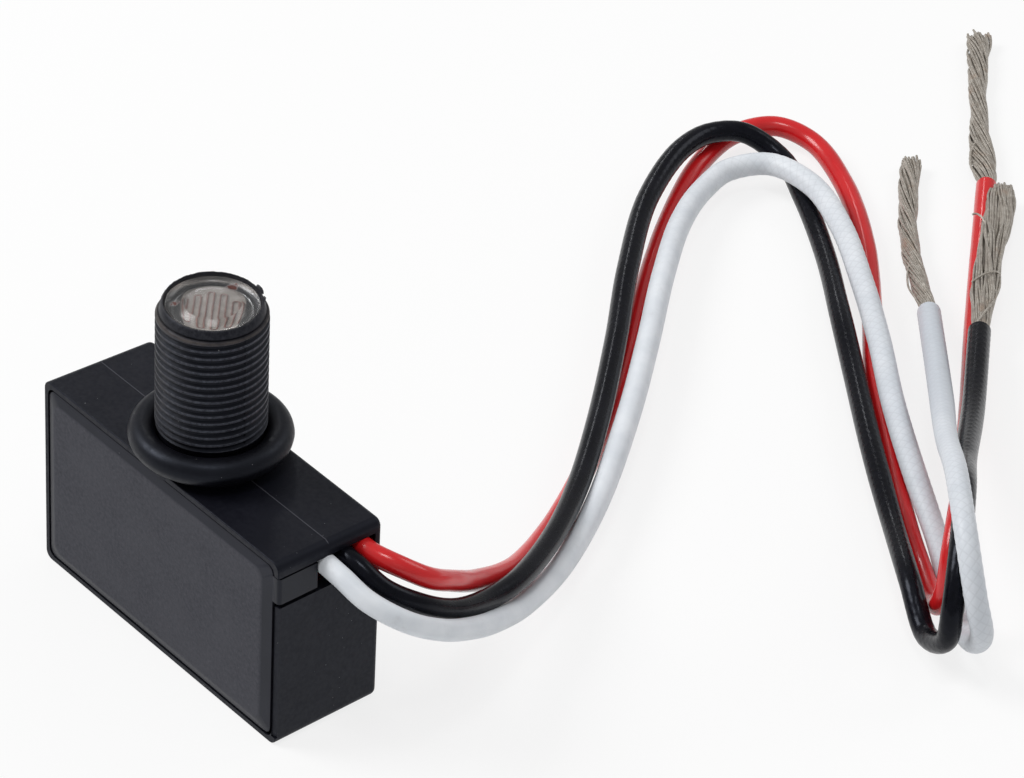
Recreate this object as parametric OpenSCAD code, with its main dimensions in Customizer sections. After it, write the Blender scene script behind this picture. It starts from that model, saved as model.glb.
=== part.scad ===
// Photocell switch for a half-inch knockout: a moulded case with a threaded stem, a clear
// lens over a light-sensitive cell, a relay board inside and three free leads.
// Millimetres. The origin is the centre of the case's base. +X points out of the end that
// the leads leave, -Y is the covered side and +Z runs up the stem.

/* [Case] */
// Length of the case along X, at the covered side
case_l = 43.6; // [43:0.1:48]
// Depth of the case along Y
case_w = 15.1; // [15:0.1:18]
// Height of the case at the covered side
case_h = 25.4; // [25:0.1:30]
// Thickness of the ends, the base and the top
wall = 1.6; // [1.4:0.1:1.8]
// Thickness of the wall across from the cover
back_wall = 1.2; // [1:0.1:1.4]
// Mould draft of the ends and the top, in degrees
draft = 1; // [0:0.1:1.5]
// Radius of the corners, seen from the covered side
corner_r = 1.1; // [0.8:0.1:1.6]
// Radius of the edges round the back
edge_r = 0.45; // [0.2:0.05:0.8]
// Radius of the cavity's corners
cavity_r = 0.6; // [0.4:0.1:1]

/* [Cover] */
// Thickness of the cover plate
cover_t = 1.8; // [1.4:0.1:2]
// Width of the case's rim round the cover
lip_w = 0.7; // [0.5:0.05:0.9]
// Gap between the cover and the rim
cover_gap = 0.25; // [0.1:0.05:0.4]
// Width of the sloping border round the cover's field
border_w = 1.4; // [1:0.1:2]
// How far the border falls below the field
border_fall = 0.4; // [0.2:0.05:0.6]
// Radius of the field's corners
field_r = 1.4; // [0.8:0.1:2]

/* [Lead slot] */
// Distance of the slot's lower edge below the top of the case
slot_low = 6; // [5:0.1:7]
// Distance of the slot's upper edge below the top of the case
slot_high = 1.8; // [1.7:0.05:1.9]
// Gap under the cover's tongue
tongue_gap = 0.5; // [0.2:0.05:0.8]

/* [Stem] */
// Diameter of the stem over the crests of its thread
stem_d = 12.7; // [12.4:0.1:13]
// Diameter of the plain neck under the thread
neck_d = 11.8; // [11:0.1:11.9]
// Height of the stem's rim above the case
stem_h = 20.1; // [18:0.1:24]
// Diameter of the rim, where the stem's end is drawn in
rim_d = 11.2; // [11.1:0.1:11.6]
// Height of the drawn-in end
taper_h = 2; // [1:0.1:2.4]
// Bevel at the start of the thread
lead_in = 0.25; // [0.1:0.05:0.4]
// Height of that bevel
lead_in_h = 0.6; // [0.3:0.05:0.8]
// Diameter of the collar at the stem's foot
collar_d = 14.8; // [14.4:0.1:15]
// Height of the collar above the case
collar_h = 0.75; // [0.6:0.05:1.2]
// Diameter of the passage for the cell's wires
passage_d = 6.4; // [5.6:0.1:7]

/* [Sealing ring] */
// Mean diameter of the ring
ring_d = 15.5; // [15.3:0.1:15.9]
// Thickness of the ring
ring_t = 3.2; // [2.9:0.05:3.4]
// Gap between the ring and the thread's full size
ring_gap = 0.1; // [0.05:0.05:0.5]

/* [Lens] */
// Diameter of the lens
lens_d = 10.6; // [10.2:0.1:10.7]
// Thickness of the lens's flange
lens_flange = 1.2; // [0.8:0.1:1.6]
// How far the flange lies below the rim
lens_drop = 0.75; // [0.5:0.05:1.1]
// Diameter of the foot of the lens's dome
dome_d = 8.8; // [8:0.1:9.4]
// Diameter of the flat on top of the dome
dome_flat = 6.2; // [5:0.1:7]
// Height of the dome above the flange
dome_h = 0.5; // [0.3:0.1:0.7]
// Clearance round the lens and the cell
lens_fit = 0.1; // [0.05:0.05:0.15]

/* [Cell] */
// Diameter of the cell
cell_d = 9.2; // [8.6:0.1:9.4]
// Thickness of the cell
cell_t = 2; // [1.6:0.1:2.4]
// Gap between the lens and the cell
cell_gap = 0.3; // [0.2:0.05:0.6]
// Width of the sensitive track
track_w = 0.26; // [0.2:0.02:0.36]
// Thickness of the sensitive track
track_t = 0.1; // [0.05:0.01:0.14]
// Spacing of the track's runs
track_pitch = 0.74; // [0.7:0.02:0.8]
// Distance of the track from the cell's edge
track_margin = 0.55; // [0.4:0.05:0.8]
// Number of the track's runs
track_runs = 9; // [5:2:9]
// Turn of the track about the stem's axis, in degrees
track_turn = -23; // [-90:1:90]
// Distance between the cell's two wires
cell_wire_pitch = 3.4; // [3:0.1:3.8]
// Diameter of the cell's wires
cell_wire_d = 0.5; // [0.4:0.05:0.6]

/* [Circuit board] */
// Thickness of the board
board_t = 1.6; // [1.2:0.1:2]
// Height of the board's underside above the cavity's floor
board_rise = 2.4; // [2:0.1:3]
// Clearance round the board
board_fit = 0.15; // [0.1:0.05:0.2]
// Width of the rails that hold the board's ends
rail_w = 1; // [0.8:0.1:1.2]
// Thickness of the rails
rail_t = 1.2; // [0.8:0.1:1.4]
// Least gap between neighbouring parts on the board
part_gap = 0.3; // [0.2:0.05:0.4]
// Clearance of a wire in its hole
hole_fit = 0.1; // [0.05:0.05:0.15]
// Height of the solder joints
solder_h = 0.8; // [0.6:0.1:1]
// How far wires stand out under the board
wire_tail = 1; // [0.9:0.1:1.4]
// Diameter of the small parts' wires
part_wire_d = 0.5; // [0.4:0.05:0.6]

/* [Relay] */
// Length of the relay
relay_l = 17.5; // [16:0.1:20]
// Width of the relay
relay_w = 6.5; // [6:0.1:7.2]
// Height of the relay
relay_h = 12.5; // [10:0.1:15]
// Diameter of the relay's pins
relay_pin_d = 0.8; // [0.6:0.1:1]
// Distance of the relay's end pins from its ends
relay_pin_inset = 1.6; // [1.2:0.1:2]
// Spacing of the relay's contact pins, along it
contact_pitch = 5; // [4:0.1:5.4]
// Spacing of the relay's coil pins, across it
coil_pitch = 4; // [3:0.1:4.4]

/* [Other parts] */
// Length of the rectifier
rectifier_l = 14.2; // [13:0.1:15]
// Thickness of the rectifier
rectifier_w = 3.2; // [2.8:0.1:3.4]
// Height of the rectifier
rectifier_h = 10.6; // [8:0.1:12]
// Length of the film capacitor
film_l = 7.2; // [6.6:0.1:7.6]
// Thickness of the film capacitor
film_w = 4.4; // [4:0.1:4.6]
// Height of the film capacitor
film_h = 9.5; // [8:0.1:11]
// Diameter of the electrolytic capacitor
can_d = 5; // [4.6:0.1:5.2]
// Height of the electrolytic capacitor
can_h = 11; // [9:0.1:12]
// Diameter of the varistor
varistor_d = 6.3; // [5.6:0.1:6.4]
// Thickness of the varistor
varistor_t = 3.2; // [2.6:0.1:3.3]
// Width of the transistor
transistor_w = 4.6; // [4:0.1:5]
// Depth of the transistor
transistor_d = 3.6; // [3:0.1:3.8]
// Height of the transistor
transistor_h = 4.6; // [4:0.1:5.2]
// Diameter of the resistors
resistor_d = 2.2; // [1.8:0.1:2.3]
// Length of the resistors
resistor_l = 6; // [5:0.1:7]
// Diameter of the zener diode
zener_d = 1.8; // [1.4:0.1:1.9]
// Length of the zener diode
zener_l = 4; // [3:0.1:5]

/* [Leads] */
// Outside diameter of the leads
lead_d = 2.5; // [2.2:0.05:2.55]
// Clearance of the leads in the slot
lead_fit = 0.15; // [0.1:0.05:0.3]
// Diameter of the bare twisted ends
strand_d = 1.9; // [1.4:0.1:2.2]
// Diameter of the tinned ends in the board
tinned_d = 1.1; // [0.8:0.1:1.3]

/* [Hidden] */
$fn = 64;
// Overlap that lets cuts run clear of the faces they open
cut = 1;

// Case, seen from the covered side and from above
front_y = -case_w / 2;
back_y = case_w / 2;
slope = tan(draft);
cavity_x = case_l / 2 - wall;
cavity_front = front_y + cover_t;
cavity_back = back_y - back_wall;
cavity_top = case_h - wall;
slot_z0 = case_h - slot_low;
slot_z1 = case_h - slot_high;

// Stem, lens and cell, from the rim down
rim_z = case_h + stem_h;
collar_z = case_h + collar_h;
flange_z = rim_z - lens_drop;
lens_z = flange_z - lens_flange;
cell_top = lens_z - cell_gap;
cell_z = cell_top - cell_t;
ring_z = collar_z + sqrt(pow(ring_t / 2, 2) - pow((ring_d - collar_d) / 2, 2));
thread_z = ring_z + ring_t / 2 + ring_gap;
taper_z = rim_z - taper_h;

// Board
board_z = wall + board_rise;
board_top = board_z + board_t;
board_x = cavity_x - board_fit;
board_front = cavity_front + board_fit;
board_back = cavity_back - board_fit;

// Room for the parts on the board
left_x = -cavity_x + rail_w + part_gap;
right_x = cavity_x - rail_w - part_gap;
parts_front = cavity_front + part_gap;
parts_back = cavity_back - part_gap;

// Routes of the leads, from the board through the slot and along the floor
white_route = [
  [13.5, -0.4, 7], [13.5, -0.4, 15], [15.5, -0.4, 20], [20, -0.3, 22.2], [23.9, -0.3, 22.2],
  [27.9, 0.4, 20.9], [31.2, 3.1, 18.9], [31.5, 8.5, 15.3], [30.4, 14.2, 12.3], [28, 19.8, 9.3],
  [24.6, 26.7, 6.2], [20.3, 35.6, 4.5], [13.3, 47.1, 4.2], [2, 62, 4.4], [-7.8, 73.6, 4.6],
  [-18, 85.1, 4.3], [-25.9, 95, 4], [-30.6, 103, 3.3], [-32.1, 108.9, 3.3], [-29.3, 113.4, 3.9],
  [-22, 114, 4.4], [-13.1, 110.9, 4.2], [-2.4, 104.6, 4.2], [8.6, 97.3, 4.3], [19.2, 89.7, 4.2],
  [30.2, 82.7, 3.8], [40.1, 77.2, 2.3], [49.3, 71.2, 1.7], [57, 66.3, 2.8], [61.5, 63.3, 7.7],
  [60.8, 62.3, 13], [56.1, 64.7, 17.9], [47.2, 71.7, 18.2], [36.7, 80.8, 13.1], [25.8, 91, 8.3],
  [6.8, 107.7, 3.1]
];
black_route = [
  [13.5, 2.2, 7], [13.5, 2.2, 15], [15.5, 2.2, 20], [20, 2.3, 22.2], [23.3, 2.4, 22.2],
  [26.7, 3.6, 20.4], [28.6, 7.1, 17.9], [28.4, 12.3, 14.5], [26.5, 18.8, 11.5], [24.4, 25.1, 9.9],
  [18.6, 35.3, 7.5], [10.3, 46.7, 5.3], [0.4, 58.6, 4.5], [-11, 71.2, 4.3], [-21.3, 82, 4.5],
  [-32.1, 94.9, 4.6], [-37.5, 105.5, 5.1], [-38.1, 111.1, 5], [-36.1, 115.1, 4.5], [-31, 117.3, 2.3],
  [-23.4, 114.2, 1.5], [-12.1, 107.6, 1.5], [-1, 99.6, 2.6], [10.7, 91.4, 2.6], [23.2, 82.4, 3.3],
  [35.6, 74, 3.6], [47, 66.1, 5], [53.4, 62.9, 2.7], [58.3, 61, 6.1], [58.7, 61, 10.7],
  [55.6, 64.5, 15.1], [48, 72.6, 15.8], [39.5, 81.5, 11.5], [27.9, 94.6, 6.5], [14.7, 108.7, 4.3]
];
red_route = [
  [13.5, 4.8, 7], [13.5, 4.8, 15], [15.5, 4.8, 20], [20, 4.9, 22.2], [22.9, 5.1, 22.2],
  [25.6, 6.6, 21.5], [27.2, 9.4, 19.6], [26.2, 13.7, 16.5], [23.2, 20.4, 11.6], [19.5, 29, 7],
  [14, 38.5, 3.8], [8, 48, 2.2], [-1, 61, 1.6], [-10, 72.5, 1.4], [-20, 84, 1.4], [-30.5, 97.5, 1.4],
  [-37.5, 109.1, 1.7], [-39.1, 116.3, 2.3], [-37, 121.6, 2.6], [-32.1, 123.6, 2], [-23, 120.9, 1.4],
  [-10.9, 113.4, 1.5], [0.5, 104, 1.4], [11, 94.7, 1.4], [23.9, 85.1, 1.4], [34.7, 77.4, 1.4],
  [42.9, 72.3, 1.4], [50.8, 67.1, 3.5], [52.2, 66.6, 6.6], [51.4, 67.8, 11], [48.6, 71.2, 13],
  [41.3, 79.5, 8.6], [36, 85.2, 6.2], [24.2, 98, 2.8], [10.5, 112.3, 1.4], [-11.5, 135.7, 1.4]
];

// Routes of the bare ends, each from the end of its lead
white_bare = [[6.8, 107.7, 3.1], [-1, 113, 2.4], [-7.5, 118, 1.8], [-13, 123, 1.4], [-22, 132, 1.2]];
black_bare = [[14.7, 108.7, 4.3], [9, 115, 4], [2.5, 122.5, 3.4], [-4, 130.5, 2.8], [-9, 136, 2.4]];
red_bare = [[-11.5, 135.7, 1.4], [-18, 141, 1.3], [-24, 146.5, 1.2], [-30, 152, 1.2], [-39, 161, 1.2]];

// Places of the leads' ends in the board, and the point of each route just outside the slot
lead_spots = [for (route = [white_route, black_route, red_route]) [route[0].x, route[0].y]];
outside = 4;

// Parts along the board, each beside the one before it
relay_x = left_x;
relay_y = parts_back - relay_w;
rectifier_x = left_x;
rectifier_y = parts_front;
cell_wire_y = parts_front + rectifier_w / 2;
transistor_x = cell_wire_pitch / 2 + cell_wire_d / 2 + part_gap;
transistor_y = parts_front;
can_x = relay_x + relay_l + part_gap + can_d / 2;
can_y = parts_back - can_d / 2;
film_x = can_x + can_d / 2 + part_gap;
film_y = parts_back - film_l;
varistor_x = right_x - varistor_t;
varistor_y = parts_front + resistor_d + part_gap + varistor_d / 2;
hairpin = resistor_d / 2 + part_wire_d / 2 + part_gap;
bleeder = [transistor_x + transistor_w + part_gap + resistor_d / 2, parts_front + resistor_d / 2];
biaser = [varistor_x + resistor_d / 2, parts_front + resistor_d / 2];
zener = [varistor_x + zener_d / 2, varistor_y + varistor_d / 2 + part_gap + zener_d / 2];

// Spacing of the parts' wires
rectifier_pitch = 3.8;
film_pitch = 5;
can_pitch = 2;
varistor_pitch = 5;
transistor_pitch = 1.27;

// Where wires pass through the board
contact_spots = [
  for (i = [0:2]) [relay_x + relay_pin_inset + i * contact_pitch, relay_y + relay_w / 2]
];
coil_spots = [
  for (side = [-0.5, 0.5])
    [relay_x + relay_l - relay_pin_inset, relay_y + relay_w / 2 + side * coil_pitch]
];
relay_spots = concat(contact_spots, coil_spots);
cell_spots = [for (side = [-1, 1]) [side * cell_wire_pitch / 2, cell_wire_y]];
rectifier_spots = [
  for (i = [-1.5:1:1.5]) [rectifier_x + rectifier_l / 2 + i * rectifier_pitch, rectifier_y + rectifier_w / 2]
];
film_spots = [for (side = [-0.5, 0.5]) [film_x + film_w / 2, film_y + film_l / 2 + side * film_pitch]];
can_spots = [for (side = [-0.5, 0.5]) [can_x + side * can_pitch, can_y]];
varistor_spots = [
  for (side = [-0.5, 0.5]) [varistor_x + varistor_t / 2, varistor_y + side * varistor_pitch]
];
transistor_spots = [
  for (i = [-1:1]) [transistor_x + transistor_w / 2 + i * transistor_pitch, transistor_y + transistor_d / 2]
];
upright_spots = [for (foot = [bleeder, biaser, zener]) foot];
return_spots = [for (foot = upright_spots) foot + [hairpin, 0]];
straight_spots = concat(rectifier_spots, film_spots, can_spots, varistor_spots, transistor_spots);
part_spots = concat(straight_spots, upright_spots, return_spots);

// Heights that parts stand above the board
upright_rise = 1;
disc_rise = 1;

// Every wire through the board: place and diameter
board_wires = concat(
  [for (spot = part_spots) [spot, part_wire_d]],
  [for (spot = cell_spots) [spot, cell_wire_d]],
  [for (spot = relay_spots) [spot, relay_pin_d]],
  [for (spot = lead_spots) [spot, tinned_d]]
);

// Colours
moulding = [0.13, 0.13, 0.14];
panel = [0.24, 0.24, 0.25];
tin = [0.62, 0.6, 0.57];

// Vectors along a route
function unit(v) = v / norm(v);
function heading(route, i) = unit(route[min(i + 1, len(route) - 1)] - route[max(i - 1, 0)]);
function headings(route, first) = [
  for (i = [0:len(route) - 1]) i == 0 && !is_undef(first) ? first : heading(route, i)
];
function carried(normal, along) = unit(normal - (normal * along) * along);
function normals(along, i = 0, last = [0, 1, 0]) =
  i == len(along) ? [] : let (n = carried(last, along[i])) concat([n], normals(along, i + 1, n));

// Tube along a route; first is the direction of its first face, where that is given
module tube(route, d, first = undef, sides = 8) {
  along = headings(route, first);
  across = normals(along);
  rings = len(route);
  points = [
    for (i = [0:rings - 1], k = [0:sides - 1])
      let (a = 360 * k / sides)
        route[i] + d / 2 * (cos(a) * across[i] + sin(a) * cross(along[i], across[i]))
  ];
  walls = [
    for (i = [0:rings - 2], k = [0:sides - 1])
      let (j = (k + 1) % sides)
        [i * sides + k, (i + 1) * sides + k, (i + 1) * sides + j, i * sides + j]
  ];
  start = [for (k = [0:sides - 1]) k];
  end = [for (k = [sides - 1:-1:0]) (rings - 1) * sides + k];
  polyhedron(points, concat(walls, [start, end]));
}

// Extrusions of a profile drawn in X and Z, and in Y and Z
module along_y(y0, y1) {
  translate([0, y1, 0])
    rotate([90, 0, 0])
      linear_extrude(y1 - y0)
        children();
}
module along_x(x0, x1) {
  translate([x0, 0, 0])
    rotate([90, 0, 90])
      linear_extrude(x1 - x0)
        children();
}

// Rectangle between two corners, with round corners
module round_rect(low, high, r) {
  translate(low + [r, 0])
    square([high.x - low.x - 2 * r, high.y - low.y]);
  translate(low + [0, r])
    square([high.x - low.x, high.y - low.y - 2 * r]);
  for (x = [low.x + r, high.x - r], y = [low.y + r, high.y - r])
    translate([x, y])
      circle(r);
}

// Plan of the case: the ends lean in towards the back
module plan_profile() {
  r = edge_r;
  x = case_l / 2 - (case_w - r) * slope - r / cos(draft);
  y = back_y - r;
  polygon([
    [-case_l / 2, front_y], [case_l / 2, front_y],
    [x + r * cos(draft), y + r * sin(draft)], [x, back_y],
    [-x, back_y], [-x - r * cos(draft), y + r * sin(draft)]
  ]);
  for (side = [-1, 1])
    translate([side * x, y])
      circle(r);
}

// End view of the case: a level base, and a top that falls towards the back
module end_profile() {
  r = edge_r;
  y = back_y - r;
  z = case_h - (case_w - r) * slope - r / cos(draft);
  polygon([
    [front_y, 0], [y, 0], [back_y, r], [back_y, z],
    [y + r * sin(draft), z + r * cos(draft)], [front_y, case_h]
  ]);
  translate([y, z])
    circle(r);
  translate([y, r])
    circle(r);
}

module case_block() {
  intersection() {
    along_y(front_y, back_y)
      round_rect([-case_l / 2, 0], [case_l / 2, case_h], corner_r);
    linear_extrude(case_h)
      plan_profile();
    along_x(-case_l / 2, case_l / 2)
      end_profile();
  }
}

// Collar, neck, threaded length and drawn-in end of the stem; the thread is plain over its crests
module stem() {
  rotate_extrude()
    polygon([
      [0, cavity_top], [collar_d / 2, cavity_top], [collar_d / 2, collar_z], [neck_d / 2, collar_z],
      [neck_d / 2, thread_z - lead_in_h], [stem_d / 2 - lead_in, thread_z - lead_in_h],
      [stem_d / 2, thread_z], [stem_d / 2, taper_z], [rim_d / 2, rim_z], [0, rim_z]
    ]);
}

// Bore of the stem: lens seat, cell seat and wire passage
module stem_bore() {
  seat = lens_d / 2 + lens_fit;
  pocket = cell_d / 2 + lens_fit;
  rotate_extrude()
    polygon([
      [0, cavity_top - cut], [passage_d / 2, cavity_top - cut], [passage_d / 2, cell_z], [pocket, cell_z],
      [pocket, lens_z], [seat, lens_z], [seat, rim_z + cut], [0, rim_z + cut]
    ]);
}

// Opening in the end wall for the leads; the cover's tongue closes its front
module end_notch() {
  notch_back = red_route[outside].y + lead_d / 2 + lead_fit;
  translate([cavity_x - cut, front_y - cut, slot_z0])
    cube([wall + 2 * cut, notch_back - front_y + cut, slot_z1 - slot_z0]);
}

// Rails on both ends that take the board
module rails() {
  y0 = cavity_front + board_fit;
  for (side = [0, 1], z = [board_z - rail_t, board_top + board_fit])
    mirror([side, 0, 0])
      translate([cavity_x - rail_w, y0, z])
        cube([rail_w + wall / 2, cavity_back + back_wall / 2 - y0, rail_t]);
}

module case() {
  color(moulding) {
    difference() {
      union() {
        case_block();
        stem();
      }
      along_y(cavity_front - cut, cavity_back)
        round_rect([-cavity_x, wall], [cavity_x, cavity_top], cavity_r);
      along_y(front_y - cut, cavity_front)
        round_rect([lip_w - case_l / 2, lip_w], [case_l / 2 - lip_w, case_h - lip_w], corner_r);
      end_notch();
      stem_bore();
    }
    rails();
  }
}

// Cover plate with a sloping border round its field
module cover_plate() {
  inset = lip_w + cover_gap;
  low = [inset - case_l / 2, inset];
  high = [case_l / 2 - inset, case_h - inset];
  border = [border_w, border_w];
  skin = 0.01;
  hull() {
    along_y(front_y + border_fall, cavity_front)
      round_rect(low, high, corner_r, $fn = 32);
    along_y(front_y, front_y + skin)
      round_rect(low + border, high - border, field_r, $fn = 32);
  }
}

// Tongue that turns round the corner and closes the slot in front of the leads
module cover_tongue() {
  tongue_back = white_route[outside].y - lead_d / 2 - lead_fit;
  intersection() {
    translate([cavity_x + cover_gap, front_y + border_fall, slot_z0 + tongue_gap])
      cube([wall, tongue_back - front_y - border_fall, slot_z1 - slot_z0 - tongue_gap - cover_gap]);
    case_block();
  }
}

module cover() {
  color(panel) {
    cover_plate();
    cover_tongue();
  }
}

module sealing_ring() {
  color([0.08, 0.08, 0.09])
    translate([0, 0, ring_z])
      rotate_extrude()
        translate([ring_d / 2, 0])
          circle(d = ring_t);
}

// Clear cap: a flange under a low dome with a flat top
module lens() {
  steps = 6;
  dome = [
    for (i = [0:steps])
      let (a = 90 * i / steps)
        [dome_flat / 2 + (dome_d - dome_flat) / 2 * cos(a), flange_z + dome_h * sin(a)]
  ];
  color([0.85, 0.88, 0.9, 0.4])
    rotate_extrude()
      polygon(concat(
        [[0, lens_z], [lens_d / 2, lens_z], [lens_d / 2, flange_z]], dome, [[0, flange_z + dome_h]]
      ));
}

module photocell() {
  bevel = 0.2;
  color([0.75, 0.71, 0.66])
    rotate_extrude()
      polygon([
        [0, cell_z], [cell_d / 2, cell_z], [cell_d / 2, cell_top - track_t - bevel],
        [cell_d / 2 - bevel, cell_top - track_t], [0, cell_top - track_t]
      ]);
}

// Winding line of the sensitive material, from edge to edge of the cell's face
module photocell_track() {
  reach = cell_d / 2 - track_margin;
  places = [for (i = [0:track_runs - 1]) (i - (track_runs - 1) / 2) * track_pitch];
  spans = [for (x = places) sqrt(pow(reach, 2) - pow(x, 2))];
  // Ends of each run: even runs turn at the top, odd ones at the bottom
  turns = [for (i = [0:track_runs - 2]) (i % 2 == 0 ? 1 : -1) * min(spans[i], spans[i + 1])];
  starts = concat([-spans[0]], turns);
  ends = concat(turns, [(track_runs % 2 == 0 ? -1 : 1) * spans[track_runs - 1]]);
  color([0.42, 0.24, 0.17])
    translate([0, 0, cell_top - track_t])
      rotate(track_turn - 90)
        linear_extrude(track_t) {
          for (i = [0:track_runs - 1])
            translate([places[i] - track_w / 2, min(starts[i], ends[i])])
              square([track_w, abs(ends[i] - starts[i])]);
          for (i = [0:track_runs - 2])
            translate([places[i] - track_w / 2, turns[i] - track_w / 2])
              square([track_pitch + track_w, track_w]);
        }
}

// Wire that runs straight between two points, with a round end at each
module wire(from, to, d) {
  run = to - from;
  turn = [0, acos(run.z / norm(run)), atan2(run.y, run.x)];
  translate(from)
    rotate(turn)
      cylinder(d = d, h = norm(run), $fn = 24);
  for (end = [from, to])
    translate(end)
      sphere(d = d, $fn = 24);
}

// The cell's two wires step forward, past the relay, on their way to the board
module photocell_wires() {
  step_top = cavity_top + wall / 2;
  step_low = step_top + cell_wire_y;
  color(tin)
    for (spot = cell_spots) {
      bend = [spot.x, 0, step_top];
      knee = [spot.x, spot.y, step_low];
      translate([spot.x, 0, step_top])
        cylinder(d = cell_wire_d, h = cell_z - step_top, $fn = 24);
      wire(bend, knee, cell_wire_d);
      translate([spot.x, spot.y, board_z - wire_tail])
        cylinder(d = cell_wire_d, h = step_low - board_z + wire_tail, $fn = 24);
    }
}

module circuit_board() {
  color([0.62, 0.5, 0.24])
    difference() {
      translate([-board_x, board_front, board_z])
        cube([2 * board_x, board_back - board_front, board_t]);
      for (hole = board_wires)
        translate([hole[0].x, hole[0].y, board_z - cut])
          cylinder(d = hole[1] + 2 * hole_fit, h = board_t + 2 * cut, $fn = 24);
    }
}

module relay() {
  corner = 0.5;
  color([0.15, 0.3, 0.55])
    translate([0, 0, board_top])
      linear_extrude(relay_h)
        round_rect([relay_x, relay_y], [relay_x + relay_l, relay_y + relay_w], corner);
}

module pins(spots, d, top) {
  for (spot = spots)
    translate([spot.x, spot.y, board_z - wire_tail])
      cylinder(d = d, h = top - board_z + wire_tail, $fn = 24);
}

module relay_pins() {
  color(tin)
    pins(relay_spots, relay_pin_d, board_top);
}

// Flat rectifier that stands on edge, with one corner cut to mark its plus side
module bridge_rectifier() {
  mark = 2;
  color([0.1, 0.1, 0.1])
    translate([rectifier_x, 0, board_top])
      along_y(rectifier_y, rectifier_y + rectifier_w)
        polygon([
          [0, 0], [rectifier_l, 0], [rectifier_l, rectifier_h], [mark, rectifier_h],
          [0, rectifier_h - mark]
        ]);
}

module film_capacitor() {
  corner = 0.4;
  color([0.75, 0.2, 0.15])
    translate([0, 0, board_top])
      linear_extrude(film_h)
        round_rect([film_x, film_y], [film_x + film_w, film_y + film_l], corner);
}

// Rolled can with a beaded groove above its foot
module electrolytic_capacitor() {
  r = can_d / 2;
  groove = 0.25;
  bead = 1.5;
  color([0.12, 0.16, 0.32])
    translate([can_x, can_y, board_top])
      rotate_extrude()
        polygon([
          [0, 0], [r - groove, 0], [r, groove], [r, bead - groove], [r - groove, bead],
          [r, bead + groove], [r, can_h - groove], [r - groove, can_h], [0, can_h]
        ]);
}

// Round varistor that stands on edge
module varistor() {
  rim = 0.8;
  r = varistor_d / 2;
  color([0.15, 0.35, 0.6])
    translate([varistor_x, varistor_y, board_top + disc_rise + r])
      rotate([0, 90, 0])
        rotate_extrude()
          polygon([
            [0, 0], [r - rim, 0], [r, rim], [r, varistor_t - rim], [r - rim, varistor_t], [0, varistor_t]
          ]);
}

// Transistor with a round back and a flat face towards the cover
module transistor() {
  r = transistor_w / 2;
  color([0.1, 0.1, 0.1])
    translate([transistor_x + r, transistor_y, board_top])
      linear_extrude(transistor_h)
        intersection() {
          translate([0, transistor_d - r])
            circle(r);
          translate([-r, 0])
            square([transistor_w, transistor_d]);
        }
}

// Body of an upright resistor, thicker at its ends
module resistor_body() {
  r = resistor_d / 2;
  step = 0.2;
  waist = r - step;
  cap = 1.2;
  rotate_extrude()
    polygon([
      [0, 0], [r, 0], [r, cap], [waist, cap + step], [waist, resistor_l - cap - step],
      [r, resistor_l - cap], [r, resistor_l], [0, resistor_l]
    ]);
}

module resistors() {
  color([0.78, 0.68, 0.5])
    for (foot = [bleeder, biaser])
      translate([foot.x, foot.y, board_top + upright_rise])
        resistor_body();
}

module zener_diode() {
  color([0.75, 0.35, 0.2])
    translate([zener.x, zener.y, board_top + upright_rise])
      cylinder(d = zener_d, h = zener_l, $fn = 32);
}

// Wires of the small parts: straight ones, and hairpins over the upright parts
module part_wires() {
  tops = [for (l = [resistor_l, resistor_l, zener_l]) board_top + upright_rise + l];
  arch = part_wire_d + part_gap;
  color(tin) {
    pins(concat(rectifier_spots, film_spots, can_spots, transistor_spots), part_wire_d, board_top);
    pins(upright_spots, part_wire_d, board_top + upright_rise);
    for (side = [0, 1]) {
      spot = varistor_spots[side];
      inner_side = (varistor_pitch - part_wire_d) / 2;
      disc_side = varistor_d / 2 - sqrt(pow(varistor_d / 2, 2) - pow(inner_side, 2));
      pins([spot], part_wire_d, board_top + disc_rise + disc_side);
    }
    for (i = [0:len(upright_spots) - 1]) {
      up = [upright_spots[i].x, upright_spots[i].y, tops[i] + arch];
      over = [return_spots[i].x, return_spots[i].y, tops[i] + arch];
      translate([up.x, up.y, tops[i]])
        cylinder(d = part_wire_d, h = arch, $fn = 24);
      wire(up, over, part_wire_d);
      pins([return_spots[i]], part_wire_d, tops[i] + arch);
    }
  }
}

// A cone of solder round each wire under the board
module solder_joints() {
  foot = 0.35;
  tip = 0.12;
  color([0.7, 0.7, 0.7])
    for (joint = board_wires)
      translate([joint[0].x, joint[0].y, board_z - solder_h])
        difference() {
          cylinder(r1 = joint[1] / 2 + tip, r2 = joint[1] / 2 + foot, h = solder_h, $fn = 24);
          translate([0, 0, -cut])
            cylinder(d = joint[1], h = solder_h + 2 * cut, $fn = 24);
        }
}

// Tinned end of a lead, through the board
module tinned_end(route) {
  translate([route[0].x, route[0].y, board_z - wire_tail])
    cylinder(d = tinned_d, h = route[0].z - board_z + wire_tail, $fn = 24);
}

// Bare twisted end of a lead, square to the end of its insulation
module bare_end(route, bare) {
  tube(bare, strand_d, first = heading(route, len(route) - 1));
}

module white_lead() {
  color([0.88, 0.89, 0.9])
    tube(white_route, lead_d);
}

module black_lead() {
  color([0.11, 0.11, 0.13])
    tube(black_route, lead_d);
}

module red_lead() {
  color([0.78, 0.14, 0.14])
    tube(red_route, lead_d);
}

module white_strands() {
  color(tin) {
    bare_end(white_route, white_bare);
    tinned_end(white_route);
  }
}

module black_strands() {
  color(tin) {
    bare_end(black_route, black_bare);
    tinned_end(black_route);
  }
}

module red_strands() {
  color(tin) {
    bare_end(red_route, red_bare);
    tinned_end(red_route);
  }
}

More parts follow.
